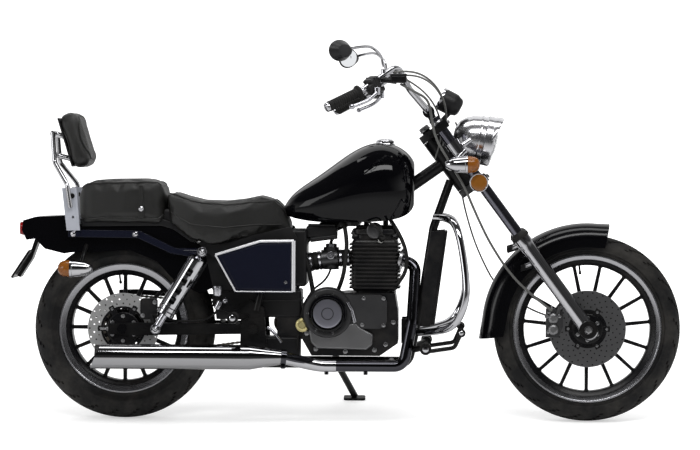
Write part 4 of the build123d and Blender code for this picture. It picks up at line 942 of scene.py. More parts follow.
def build_mirrors():
    shells, glasses, stems = [], [], []
    for side in SIDES:
        centre = Vector((-44, side * 398, 1216))
        facing = Vector((-0.84, -side * 0.55, 0.04)).normalized()
        shell = begin("cylinder", "mirror_shells", vertices=28, radius=1, depth=2)
        edit(shell)
        pick_faces(shell, top_face)
        bpy.ops.mesh.inset(thickness=0.06)
        bpy.ops.mesh.extrude_region_move(TRANSFORM_OT_translate={"value": (0, 0, -0.35)})
        pick_faces(shell, lambda centre, normal: normal.z < -0.9)
        bpy.ops.transform.resize(value=(0.62, 0.58, 1))
        bpy.ops.mesh.inset(thickness=0.2)
        bpy.ops.transform.translate(value=(0, 0, -0.25))
        leave()
        shell.scale = (62, 35, 11)
        bpy.ops.object.transform_apply()
        soften(shell, 1.6, 2, 30)
        wide = Vector(UP).cross(facing)
        turn = axes(wide.normalized(), facing.cross(wide).normalized(), facing)
        shells.append(bake(shell, Matrix.Translation(centre - facing * 12) @ turn))
        glass = begin("cylinder", "mirror_glass", vertices=40, radius=1, depth=2)
        glass.scale = (56, 30.5, 1.2)
        bpy.ops.object.transform_apply()
        soften(glass, 0.8, 1)
        glasses.append(bake(glass, Matrix.Translation(centre - facing * 5.5) @ turn))
        root = Vector((95.6, side * 276, 1140))
        stems.append(wire("stem", [root, root + Vector((-2, 0, 30)), root + Vector((-4, 0, 62)),
            (66, side * 292, 1224), (52, side * 318, 1234), (20, side * 352, 1230), (-14, side * 384, 1222)],
            4.8, 4, 4))
        stems.append(rod("stem", root + Vector((0, 0, -6)), root + Vector((0, 0, 20)), 9, 1.5, 20))
        stems.append(hexagon("stem", root + Vector((0, 0, 20)), UP, 8, 7))
        stems.append(rod("stem", (-14, side * 384, 1222), (-30, side * 394, 1218), 8, 2, 20))
    group("mirror_shells", shells, "plastic", "front_end", "black_plastic", ["mirrors"])
    group("mirror_glass", glasses, "mirror_glass", "front_end", "chrome")
    group("mirror_stems", stems, "chrome", "front_end", "chrome")


def build_headlight():
    way, centre = Vector((cos(radians(12)), 0, -sin(radians(12)))), Vector((392, 0, 940))
    bucket = lathe("headlight_bucket", [(0, -69), (14, -69), (30, -66), (48, -56), (63, -38), (72, -16),
        (76, 8), (78, 30), (79, 34), (82.5, 36), (82.5, 60), (81, 65), (77, 68), (73, 68), (72, 62),
        (72, 34), (60, 30)], centre, way, 72)
    band = lathe("headlight_bucket", looped([(76, 12), (79, 12), (79.5, 14), (79.5, 18), (79, 20),
        (76, 20)]), centre, way, 72)
    widest, front = 83.6, 58
    peak = lathe("headlight_bucket", [(82, front), (83, 62), (widest, 70), (widest, 78), (82.6, 86)],
        (0, 0, 0), UP, 60, 176, 2)
    for vertex in peak.data.vertices:
        share = max(0.0, vertex.co.y / widest) ** 0.8
        vertex.co.z = front + (vertex.co.z - front) * share
    modify(peak, "SOLIDIFY", thickness=2.2, offset=0)
    bake(peak, Matrix.Translation(centre) @ axes(ACROSS, way.cross(Vector(ACROSS)), way))
    group("headlight_bucket", [bucket, band, peak], "soft_chrome", "front_end", "chrome", ["headlight"])
    bowl = lathe("headlight_bowl", [(6, 6), (20, 12), (40, 26), (58, 44), (71, 62)], centre, way, 60)
    settle(bowl, "reflector_bowl", "front_end", "chrome")
    bulb = lathe("headlight_bulb", [(0, 46), (5, 45), (7.5, 41), (8, 32), (8, 8), (12, 6)], centre, way, 24)
    settle(bulb, "dial_glass", "front_end", "chrome")
    glass = lathe("headlight_lens", looped([(0.01, 78), (24, 77), (46, 73.5), (62, 69), (71.5, 63),
        (71.5, 60), (62, 66), (46, 70.5), (24, 74), (0.01, 75)]), centre, way, 72)
    settle(glass, "clear_lens", "front_end", "chrome")
    rounded("lamp_brackets", "chrome", 1.5)
    nuts = [hexagon("nut", (388, side * 96, 940), (0, side, 0), 9, 7) for side in SIDES]
    group("headlight_nuts", nuts, "bolt_steel", "front_end", "chrome")


def bullet(name, centre, way, body, node_name, body_profile, lens_profile):
    shells, caps = [], []
    for side in SIDES:
        place = (centre[0], side * centre[1], centre[2])
        shells.append(lathe(name + "_shells", body_profile, place, way, 44))
        caps.append(lathe(name + "_lenses", lens_profile, place, way, 44))
    group(name + "_shells", shells, "chrome", body, "chrome", [node_name])
    group(name + "_lenses", caps, "amber_lens", body, "amber_lens")


SIGNAL_SHELL = [(0, 4), (8, 4), (12, 7), (18, 16), (23, 28), (26, 44), (28, 60), (28.4, 70), (29.4, 71),
    (29.4, 78), (27, 79), (26, 74)]
SIGNAL_LENS = [(26.5, 73), (27.5, 79), (27, 92), (25, 102), (20, 111), (12, 116.5), (0, 118.5)]


def build_lamps():
    bullet("front_signal", (292, 158, 852), (1, 0, 0), "front_end", "front_signals", SIGNAL_SHELL,
        SIGNAL_LENS)
    bullet("rear_signal", (-866, 152, 503), (-1, 0, 0), "chassis", "rear_signals",
        [(r, h - 6) for r, h in SIGNAL_SHELL], [(r, h - 6) for r, h in SIGNAL_LENS])
    stalks = [wire("stalk", [(-890, side * 92, 580), (-895, side * 106, 560), (-899, side * 134, 530),
        (-900, side * 142, 514)], 7, 3, 4) for side in SIDES]
    group("rear_signal_stalks", stalks, "frame_black", "chassis", "frame_black")
    rims, discs = [], []
    for side in SIDES:
        centre = on_fork(-4, side * 133.3, 604)
        rims.append(lathe("reflector_rims", looped([(0.01, 0), (30, 0), (31, 1), (31, 9), (29, 10.5),
            (27, 9), (27, 5), (0.01, 5)]), centre, (0, side, 0), 48))
        discs.append(lathe("reflector_discs", [(0, 12), (14, 11.6), (22, 10.6), (27, 8.6), (27, 4)], centre,
            (0, side, 0), 48))
    group("reflector_rims", rims, "chrome", "front_end", "chrome", ["fork_reflectors"])
    group("reflector_discs", discs, "amber_reflector", "front_end", "amber_lens")
    tail = soften(upright("tail_lamp", 2), 3, 3, 40)
    settle(tail, "red_lens", "chassis", "red_lens", ["tail_lamp"])
    plate = soften(upright("plate_bracket", 2), 1.2, 2, 40)
    settle(plate, "frame_black", "chassis", "frame_black", ["plate_bracket"])
    facing, uphill = Vector((-0.83, 0, 0.55)), Vector((0.55, 0, 0.83))
    face = block("blank_plate", Vector((-1110, 0, 514)) + facing * 4, (184, 104, 1.6), 0.7, 1, facing)
    settle(face, "plate_white", "chassis", "black_plastic")
    spots = [Vector((-1110, side * 60, 514)) + facing * 5 + uphill * 38 for side in SIDES]
    screws = hexagons("plate_screws", spots, facing, 4, 2.5)
    settle(screws, "bolt_steel", "chassis", "polished_alloy")


def build_gauge():
    way, centre = Vector((-sin(radians(63)), 0, cos(radians(63)))), Vector((312, 0, 1055))
    cup = lathe("gauge_cup", [(0, -39), (14, -39), (24, -36), (30, -31), (33, -22), (37, -14), (38, -4),
        (38, 30), (36, 32)], centre, way, 56)
    stalk = rod("gauge_cup", on_fork(-18, 0, 834), (308, 0, 1022), 8, 2)
    group("gauge_cup", [cup, stalk], "plastic", "front_end", "black_plastic", ["speedometer"])
    ring = lathe("gauge_ring", looped([(35, 28), (38.2, 28), (39, 31), (39, 36), (37.5, 39), (35, 39.5),
        (33.5, 37), (34, 33)]), centre, way, 56)
    settle(ring, "chrome", "front_end", "chrome")
    dial = lathe("gauge_dial", [(0.01, 31), (34, 31), (34, 29)], centre, way, 48)
    settle(dial, "dial_black", "front_end", "black_plastic")
    turn = axes(RIGHT, way.cross(Vector(RIGHT)), way)
    marks = []
    spaces, reach = 24, 130           # the scale runs this many degrees to either side
    for tick in range(spaces + 1):
        long = tick % 4 == 0
        angle = radians(-reach + 2 * reach * tick / spaces)
        mark = block("mark", (0, 29.5 - (3 if long else 1.8), 0),
            (1.3 if long else 0.8, 6 if long else 3.4, 0.5), 0.1, 1)
        marks.append(bake(mark, Matrix.Translation(centre + way * 31.4) @ turn
            @ Matrix.Rotation(angle, 4, "Z")))
    group("gauge_marks", marks, "dial_white", "front_end", "black_plastic")
    hand = block("hand", (0, 9, 0), (1.8, 26, 0.9), 0.3, 1)
    bake(hand, Matrix.Translation(centre + way * 32.4) @ turn @ Matrix.Rotation(radians(reach), 4, "Z"))
    boss = lathe("hand", [(0, 3), (3, 2.6), (4, 1.4), (4, 0)], centre + way * 31.6, way, 20)
    group("gauge_hand", [hand, boss], "pointer_red", "front_end", "red_lens")
    glass = lathe("gauge_glass", looped([(0.01, 37.8), (20, 37.5), (34.5, 36.2), (34.5, 35.4), (20, 36.6),
        (0.01, 36.9)]), centre, way, 48)
    settle(glass, "dial_glass", "front_end", "chrome")


def build_front_fender():
    half, skirt, shoulder, crown = 62, 268, 297, 349
    arc = [(-half, skirt), (-half, shoulder)]
    arc += [(half * sin(radians(a)), shoulder + (crown - shoulder) * cos(radians(a)))
        for a in range(-80, 81, 16)]
    arc += [(half, shoulder), (half, skirt)]
    shell = lathe("front_fender_shell", [(radius, height) for height, radius in arc], (0, 0, 0), UP, 54, 108,
        78)
    edit(shell)
    for vertex in bmesh.from_edit_mesh(shell.data).verts:
        angle = degrees(atan2(vertex.co.y, vertex.co.x)) % 360
        flare = max(0.0, (angle - 172) / 14) ** 2 * 12 + max(0.0, (86 - angle) / 8) ** 2 * 5
        out_way = Vector((vertex.co.x, vertex.co.y, 0)).normalized()
        vertex.co += out_way * flare
    bmesh.update_edit_mesh(shell.data)
    leave()
    modify(shell, "SOLIDIFY", thickness=3, offset=-1)
    soften(shell, 1, 2, 40)
    bake(shell, Matrix.Translation(FRONT_AXLE) @ Matrix(((1, 0, 0), (0, 0, -1), (0, 1, 0))).to_4x4())
    tidy_normals(shell, 0.001)
    settle(shell, "fender_black", "front_end", "paint_black", ["front_fender"], 40)
    stays = []
    for side in SIDES:
        for height in (355, 280):
            root, foot = on_fork(-24, side * 95, height), on_fork(-60, side * 63, height + 12)
            stays.append(slab("stay", [root + Vector((0, 0, 9)), root - Vector((0, 0, 9)),
                foot - Vector((0, 0, 11)), foot + Vector((0, 0, 11))], (0, side * 3.5, 0), 1))
        stays += [hexagon("stay", on_fork(-52, side * 66, height + 10), (0, side, 0), 5.5, 5)
            for height in (355, 280)]
    group("fender_stays", stays, "frame_black", "front_end", "frame_black")


# --- pads sewn in leather
VOXEL, COVER_PRESSURE, LAST_FRAME = 0.0055, 2.0, 20        # of the pads' simulation


def relax(pad, times):
    edit_whole(pad, "VERT")
    bpy.ops.mesh.vertices_smooth(factor=0.5, repeat=times)
    leave()


def swell(pad, limit):
    """Remesh a pad, blow its cover up by simulation and cap how far each point may go. In metres."""
    choose(pad)
    pad.data.remesh_voxel_size = VOXEL
    bpy.ops.object.voxel_remesh()
    relax(pad, 3)
    start = [vertex.co.copy() for vertex in pad.data.vertices]
    cloth = pad.modifiers.new("cover", "CLOTH")
    cloth.settings.use_pressure = True
    cloth.settings.uniform_pressure_force = COVER_PRESSURE
    cloth.settings.effector_weights.gravity = 0
    cloth.settings.quality = 4
    cloth.collision_settings.use_collision = False
    scene = bpy.context.scene
    for span in (scene, cloth.point_cache):
        span.frame_start, span.frame_end = 1, LAST_FRAME
    for number in range(1, LAST_FRAME + 1):
        scene.frame_set(number)
    choose(pad)
    bpy.ops.object.modifier_apply(modifier="cover")
    scene.frame_set(1)
    for vertex, old in zip(pad.data.vertices, start):
        move = vertex.co - old
        if move.length > limit:
            vertex.co = old + move.normalized() * limit
    relax(pad, 2)
    modify(pad, "SUBSURF", levels=1, render_levels=1)


def seam_line(pad, points, radius):
    """Piping along a line laid on the cover's surface, sunk into it by most of its radius."""
    tree = BVHTree.FromObject(pad, bpy.context.evaluated_depsgraph_get())
    laid = []
    for point in points:
        spot, normal, _, _ = tree.find_nearest(Vector(point))
        laid.append(spot + normal * radius * 0.3)
    return wire("seam", laid, radius, 3, 2, resolution=3)


def build_pad(node_name, limit, seams, radius, lowest=0.0):
    """A pad from its packed block: drawn in, swollen, held above its pan and piped. In metres."""
    pad = upright(node_name)
    pad.name = node_name + "_cover"
    bake(pad, Matrix.Scale(MM, 4))
    edit_whole(pad)
    bpy.ops.mesh.quads_convert_to_tris()
    bpy.ops.transform.shrink_fatten(value=-0.004)
    leave()
    swell(pad, limit)
    for vertex in pad.data.vertices:
        vertex.co.z = max(vertex.co.z, lowest)
    piping = [seam_line(pad, line, radius) for line in seams]
    for piece in (pad, *piping):
        bake(piece, Matrix.Scale(METRE, 4))
    settle(pad, "leather", "chassis", "black_leather", [node_name], 60)
    group(node_name + "_piping", piping, "leather", "chassis", "black_leather")


def densely(points, count=6):
    """Points between the given ones, in metres, for a line that is laid on a pad."""
    found = []
    for start, end in zip(points, points[1:]):
        found += [Vector(start).lerp(Vector(end), k / count) * MM for k in range(count)]
    return found + [Vector(points[-1]) * MM]


def build_seats():
    sizes = bpy.context.scene.cruiser_sizes
    rider_edge = [(-612, 104, 752), (-540, 128, 728), (-430, 131, 716), (-335, 108, 722), (-262, 70, 722),
        (-224, 40, 690)]
    lower_edge = [(-606, 118, 690), (-540, 141, 650), (-430, 143, 640), (-330, 120, 650), (-245, 80, 650)]
    seams = [densely([(x, side * y, z) for x, y, z in edge]) for edge in (rider_edge, lower_edge)
        for side in SIDES]
    build_pad("rider_seat", sizes.seat_swell, seams, sizes.seam_radius)
    top = [(-905, 96, 770), (-860, 112, 786), (-760, 118, 790), (-680, 114, 790), (-640, 106, 780)]
    low = [(-918, 90, 672), (-880, 114, 668), (-760, 126, 668), (-650, 120, 668), (-630, 108, 680)]
    rings = [looped([(x, -y, z) for x, y, z in edge] + edge[::-1]) for edge in (top, low)]
    build_pad("pillion_seat", sizes.seat_swell, [densely(ring) for ring in rings], sizes.seam_radius,
        0.6495)
    up, out = [Vector((x, 0, z)) for x, z in ((-sin(BACK_TILT), cos(BACK_TILT)),
        (cos(BACK_TILT), sin(BACK_TILT)))]
    middle = Vector((-930.5, 0, 927))
    corners = [(-78, -60), (-92, 0), (-78, 60), (-40, 88), (0, 94), (40, 88), (78, 60), (92, 0), (78, -60),
        (40, -88), (0, -94), (-40, -88)]
    seams = [densely([middle + up * h * 0.92 + Vector((0, y * 1.08, 0)) + out * depth for h,
        y in looped(corners)], 3) for depth in (27, -27)]
    build_pad("backrest_pad", sizes.seat_swell, seams, sizes.seam_radius)
    pan = side_slab("seat_pan", [(-906, 640), (-912, 668), (-640, 668), (-590, 650), (-520, 596),
        (-540, 590), (-600, 632), (-640, 644)], -104, 208, 4, 2)
    bridge = block("seat_pan", (-616, 0, 668), (64, 190, 64), 10, 3)
    group("seat_pan", [pan, bridge], "plastic", "chassis", "black_plastic")
    caps = [lathe("stud", [(0, 8), (5, 7), (9, 4), (11, 0), (11, -4)], (-706, side * 127.4, 700),
        (0, side, 0), 28) for side in SIDES]
    group("seat_studs", caps, "chrome", "chassis", "chrome")
    strap = slab("pillion_strap", [(x, y, z) for x, y,
        z in ((-716, -127.2, 668), (-696, -127.2, 668), (-700, -126.6, 778), (-712, -126.6, 778))],
        (0, 2.5, 0), 0.8)
    settle(both_sides(strap), "leather", "chassis", "black_leather")


# --- bodywork and rear end
def build_tank():
    keep("fuel_tank", "gloss_black")
    cap = lathe("filler_cap", [(31, 908), (32.5, 914), (32.5, 918), (30, 921), (30, 927), (27, 931),
        (20, 934), (8, 935), (0, 935)], (96, 0, 0), UP, 64)
    lid = block("filler_cap", (104, 0, 934), (26, 12, 4), 1.6, 2)
    group("filler_cap", [cap, lid], "chrome", "chassis", "chrome", ["tank_cap"])
    tap = rod("fuel_tap", (-70, 74, 664), (-70, 78, 636), 9, 2)
    lever = block("fuel_tap", (-78, 84, 648), (26, 6, 9), 2, 2)
    group("fuel_tap", [tap, lever], "polished_alloy", "chassis", "polished_alloy")
    hose = wire("fuel_hose", [(-70, 77, 638), (-72, 74, 610), (-90, 50, 585), (-84, 20, 572)], 5)
    settle(hose, "rubber", "chassis", "black_rubber")


def build_covers():
    outline = [(-463, 554), (-311, 601), (-195, 603), (-195, 426), (-394, 426)]
    inner = [(-440, 546), (-308, 588), (-209, 590), (-209, 439), (-384, 439)]
    panels, trims, screws = [], [], []
    for side in SIDES:
        panels.append(side_slab("side_cover_panels", outline, side * 144, side * 9, 2.5, 3))
        panels.append(side_slab("side_cover_panels", inner, side * 152, side * 3.5, 2, 3))
        line = [(x, side * 152.5, z) for x, z in ((-458, 551), (-311, 596.5), (-200, 598.5))]
        front = [(x, side * 152.5, z) for x, z in ((-200.5, 599), (-200.5, 520), (-200.5, 431))]
        low = [(x, side * 152.5, z) for x, z in ((-201, 431), (-300, 431), (-391, 431))]
        for points, size in ((line, 4.4), (front, 6.6), (low, 2.0), (line[:1] + low[-1:], 3.0)):
            trims += [rod("trim", start, end, size, 0.8, 16) for start, end in zip(points, points[1:])]
        screws.append(hexagon("screw", (-226, side * 155, 462), (0, side, 0), 4.5, 3))
    group("side_cover_panels", panels, "satin_navy", "chassis", "paint_black", ["side_covers"])
    group("side_cover_trim", trims, "trim_bright", "chassis", "chrome")
    group("side_cover_screws", screws, "bolt_steel", "chassis", "polished_alloy")


def build_rear_fender():
    rounded("rear_fender", "gloss_black", 9, 4, "paint_black", 40)
    keep("fender_rails", "satin_navy")
    strips = []
    for side in SIDES:
        strips.append(side_slab("fender_strips", [(-948, 630), (-712, 628), (-600, 574), (-520, 552),
            (-530, 540), (-612, 556), (-718, 604), (-948, 606)], side * 116, side * 4, 1.6, 2))
    group("fender_strips", strips, "satin_navy", "chassis", "frame_black")
    heads = [lathe("bolt", [(0, 6), (6, 5.5), (10, 3), (11.5, 0), (11.5, -3)], (x, side * 120, 617),
        (0, side, 0), 28) for x in (-930, -724) for side in SIDES]
    group("fender_bolts", heads, "chrome", "chassis", "chrome")


def build_backrest():
    rounded("sissy_plates", "pale_plate", 1.2)
    # Dark blocks fill the slots of the carrier plates so that they read dark rather than open: painted shade.
    slots = [block("slot", (x, side * 129, z), (9, 9.2, 18), 3.5, 3) for x,
        z in ((-941, 744), (-937, 712)) for side in SIDES]
    group("plate_slots", slots, "rubber", "chassis", "black_rubber")
    keep("sissy_bar", "soft_chrome")
    studs = [lathe("stud", [(0, 7), (6, 6), (9.5, 3), (10, 0), (8, -4), (0, -4)], place, (-1, 0, 0.1), 24)
        for place in ((-1012, 40, 948), (-1012, -40, 948), (-1006, 40, 876), (-1006, -40, 876))]
    studs += [hexagon("stud", (-934, side * 135, 742), (0, side, 0), 7, 5) for side in SIDES]
    group("backrest_studs", studs, "frame_black", "chassis", "frame_black")
    shell = block("backrest_shell", (-961, 0, 919), (6, 196, 168), 2.6, 2)
    bake(shell, Matrix.Translation((-962, 0, 919)) @ Matrix.Rotation(-BACK_TILT, 4, "Y")
        @ Matrix.Translation((961, 0, -919)))
    settle(shell, "plastic", "chassis", "black_plastic")


# --- engine, exhaust and running gear
def build_engine():
    rounded("crankcase", "engine_black", 7, 3)
    rounded("clutch_cover", "engine_dark_alloy", 5, 3)
    rounded("generator_cover", "engine_dark_alloy", 6, 3)
    rounded("cylinders", "engine_black", 1.4)
    rounded("head_cover", "engine_black", 5, 3)
    barrel = block("cylinder_barrel", (65, 0, 518), (154, 166, 178), 18, 3)
    settle(barrel, "engine_black", "chassis", "engine_black")
    clutch = (-88, -104, 359)
    ring = lathe("clutch_ring", [(46, 40), (49.5, 44), (54, 47.4), (59, 46.4), (62, 42), (64, 18)], clutch,
        RIGHT, 72)
    settle(ring, "gloss_black", "chassis", "engine_black")
    disc = lathe("clutch_disc", [(0, 48), (17, 48), (18, 46.6), (20, 46.6), (21, 48.2), (42, 48.2),
        (46.5, 47), (48.4, 43), (48.4, 36)], clutch, RIGHT, 72)
    settle(disc, "clutch_alloy", "chassis", "polished_alloy")
    rim = lathe("clutch_rim", [(60, 21), (66, 24), (78, 23), (85, 16), (87, 0)], clutch, RIGHT, 72)
    settle(rim, "engine_dark_alloy", "chassis", "engine_black")
    case = [side_slab("clutch_case", [(-152, 306), (-144, 262), (-124, 243), (40, 239), (60, 256), (62, 290),
        (20, 312), (2, 330), (-30, 318)], -104, -20, 6, 3),
        block("clutch_case", (-100, -118, 262), (60, 8, 12), 3, 2),
        block("clutch_case", (10, -118, 262), (70, 8, 12), 3, 2)]
    group("clutch_case", case, "cast_alloy", "chassis", "polished_alloy")
    knee = (-10, -126, 372)
    ribs = [rod("rib", (-24, -126, 396), knee, 6.5, 0.8, 20), rod("rib", knee, (2, -126, 330), 6.5, 0.8, 20)]
    group("cover_ribs", ribs, "polished_alloy", "chassis", "polished_alloy")
    ends = [(-88 + 67 * cos(radians(a)), -122, 359 + 67 * sin(radians(a))) for a in (75, 125, 180, 235, 285)]
    ends += [(96, -122, 409), (96, -122, 321), (26, -122, 322), (30, -122, 410)]
    heads = [hexagons("case_bolts", ends, RIGHT, 5.6, 5),
        hexagons("case_bolts", [(-158, -104, 292), (-128, -104, 240), (-30, -104, 232), (66, -104, 238),
        (103, -104, 256), (128, -104, 330), (-150, -104, 396)], RIGHT, 6.5, 5),
        hexagons("case_bolts", [(60 + 69 * cos(radians(a)), 124, 346 + 69 * sin(radians(a)))
        for a in range(-130, 131, 52)] + [(-150, 124, 392), (-150, 124, 300)], ACROSS, 5.6, 5),
        hexagons("case_bolts", [(x, y, 652) for x in (12, 118) for y in (-60, 60)], UP, 6, 6)]
    group("case_bolts", heads, "bolt_steel", "chassis", "polished_alloy")
    plug = lathe("oil_plug", [(0, 16), (10, 16), (12, 14), (13, 9), (20, 8), (23, 5), (23.5, 0)],
        (-172, -104, 319), RIGHT, 48)
    settle(plug, "brass", "chassis", "polished_alloy")
    cap = lathe("generator_cap", [(0, 24), (14, 24), (16, 21), (34, 21), (37, 24), (50, 23), (57, 17),
        (60, 8), (60, 0)], (60, 103, 346), ACROSS, 64)
    settle(cap, "polished_alloy", "chassis", "polished_alloy")
    caps = []
    for x, ahead in ((2, -1), (128, 1)):
        for side in SIDES:
            caps.append(lathe("valve_caps", [(0, 16), (9, 16), (10, 14), (11, 9), (20, 8), (23, 5),
                (23, -8)], (x, side * 40, 622), (ahead, 0, 0.5), 32))
    boss = lathe("valve_caps", [(0, 9), (22, 9), (26, 6), (27, 0), (27, -10)], (64, -80, 632), RIGHT, 40)
    group("valve_caps", caps + [boss], "engine_dark_alloy", "chassis", "engine_black")
    spark = lathe("spark_plug", [(6, -6), (7, 0), (9, 1), (9, 7), (6, 8), (6, 14)], (84, -78, 598),
        (0.2, -1, 0.3), 24)
    settle(spark, "plate_white", "chassis", "polished_alloy")
    lead = [rod("spark_lead", (86, -90, 602), (93, -120, 612), 9.5, 3),
        wire("spark_lead", [(92, -112, 610), (94, -128, 618), (70, -132, 650), (20, -100, 672),
        (-30, -50, 680)], 3.6)]
    group("spark_lead", lead, "rubber", "chassis", "black_rubber")
    rounded("radiator_panel", "engine_black", 3)
    frames = [side_slab("front_panel_sides", [(298, 634), (250, 630), (206, 316), (250, 314)], side * 75,
        side * 5, 1.5, 2) for side in SIDES]
    group("front_panel_sides", frames, "engine_black", "chassis", "engine_black")


def build_intake():
    rounded("carburettor", "engine_dark_alloy", 3)
    boots = [lathe("boots", [(24.5, -2), (28, 0), (28, 7), (26, 10), (28, 13), (28, 24), (26, 27), (28, 30),
        (28, 38), (24, 40)], (-20, 0, 539.4), (-1, 0, -0.05), 40),
        lathe("boots", [(27.3, 0), (31, 1), (31, 9), (29, 12), (31, 15), (31, 24), (29, 27), (31, 30),
        (31, 42), (27.3, 44)], (-114, 0, 531), (-1, 0, -0.18), 40)]
    group("intake_boots", boots, "rubber", "chassis", "black_rubber")
    rings = [lathe("hose_clamps", [(28.4, 0), (29.6, 0.6), (29.6, 7.4), (28.4, 8)], (x, 0, z),
        (-1, 0, -0.05), 36) for x, z in ((-22, 539), (-46, 538))]
    rings += [lathe("hose_clamps", [(31.3, 0), (32.5, 0.6), (32.5, 7.4), (31.3, 8)], (x, 0, z),
        (-1, 0, -0.18), 36) for x, z in ((-116, 530.5), (-146, 525))]
    rings += [lathe("hose_clamps", [(0, 12), (17, 12), (19, 10), (19, 0)], (-82, 0, 574), UP, 32),
        rod("hose_clamps", (-82, -36, 548), (-82, -48, 548), 13, 2, 24),
        rod("hose_clamps", (-82, -48, 548), (-82, -52, 548), 4, 1, 12)]
    group("intake_fittings", rings, "polished_alloy", "chassis", "polished_alloy")
    hoses = [wire("hose", points, radius) for radius, points in (
        (4.2, [(-82, 10, 582), (-80, 8, 630), (-60, 20, 668), (0, 60, 676), (90, 50, 690)]),
        (8, [(-140, -62, 425), (-150, -70, 500), (-176, -66, 560), (-160, -40, 600), (-120, -20, 640),
             (-100, 0, 668)]),
        (7, [(-60, -56, 426), (-40, -84, 470), (-30, -104, 540), (-26, -96, 606), (-40, -60, 664)]),
        (3.5, [(-82, -30, 505), (-90, -58, 470), (-150, -92, 430), (-186, -98, 330), (-190, -90, 240)]),
        (6.5, [(110, -70, 426), (160, -84, 470), (176, -88, 540), (150, -80, 620), (110, -60, 676)]))]
    group("engine_hoses", hoses, "rubber", "chassis", "black_rubber")
    chamber = block("air_chamber", (-188, 0, 540), (56, 160, 190), 12, 4)
    tray = block("air_chamber", (-112, -34, 626), (104, 44, 40), 8, 3)
    lid = block("air_chamber", (-112, -34, 648), (92, 36, 8), 3, 2)
    drain = rod("air_chamber", (-150, -52, 600), (-60, -52, 612), 9, 2)
    group("air_chamber", [chamber, tray, lid, drain], "plastic", "chassis", "black_plastic")
    coil_body = [block("ignition_coil", (-20, -52, 660), (70, 30, 30), 5, 3),
        rod("ignition_coil", (-20, -66, 660), (-20, -84, 656), 7, 2)]
    group("ignition_coil", coil_body, "plastic", "chassis", "black_plastic")


def build_crash_bars():
    bars = [wire("crash_bars_bent", [(266, side * 50, 676), (300, side * 150, 680), (340, side * 206, 650),
        (368, side * 250, 480), (366, side * 252, 400), (330, side * 226, 322), (262, side * 140, 300),
        (204, side * 74, 294)], 12, 3, 6) for side in SIDES]
    group("crash_bars_bent", bars, "chrome", "chassis", "chrome", ["crash_bars"], 60)


def build_exhaust():
    keep("exhaust_pipes", "dark_chrome")
    shield = wire("heat_shield", [(-60, -137, 187), (-84, -138, 187), (-116, -140, 187.5), (-180, -158, 202),
        (-228, -174, 214.6)], 20.6, 3, 8)
    settle(shield, "chrome", "chassis", "chrome")
    keep("muffler", "muffler_chrome")
    flange = lathe("header_flange", [(19.4, -2), (36, -2), (38, 0), (38, 8), (36, 10), (22, 10), (19.4, 8)],
        (150, -49.5, 537), (1, -0.16, -0.28), 40)
    nuts = hexagons("header_flange", [(158, -76, 520), (158, -24, 556)], (1, -0.16, -0.28), 7, 8)
    group("header_flange", [flange, nuts], "bolt_steel", "chassis", "polished_alloy")
    collar = [lathe("pipe_clamps", [(22, 0), (26, 0.5), (26, 17), (22, 18)], (-222, -175.6, 215.6),
        (-1, -0.1, 0.08), 40), block("pipe_clamps", (-232, -176, 187), (16, 22, 14), 2, 2),
        hexagon("pipe_clamps", (-232, -187, 187), RIGHT, 6, 5)]
    group("pipe_clamps", collar, "dark_chrome", "chassis", "chrome")
    inner = lathe("silencer_pipe", [(37.6, 60), (37.6, 20), (36, 18), (17, 12), (15, 10), (15, -30),
        (17.5, -30), (17.5, 10), (17.5, 50)], (-790, -176, 216), (-1, 0, 0), 48)
    settle(inner, "engine_black", "chassis", "engine_black")


SHOCK_HALF = 142                  # from the centre plane to a shock absorber


def beyond(out, distance):
    """The way out to a shock absorber, made longer by the distance."""
    return out * (1 + distance / SHOCK_HALF)


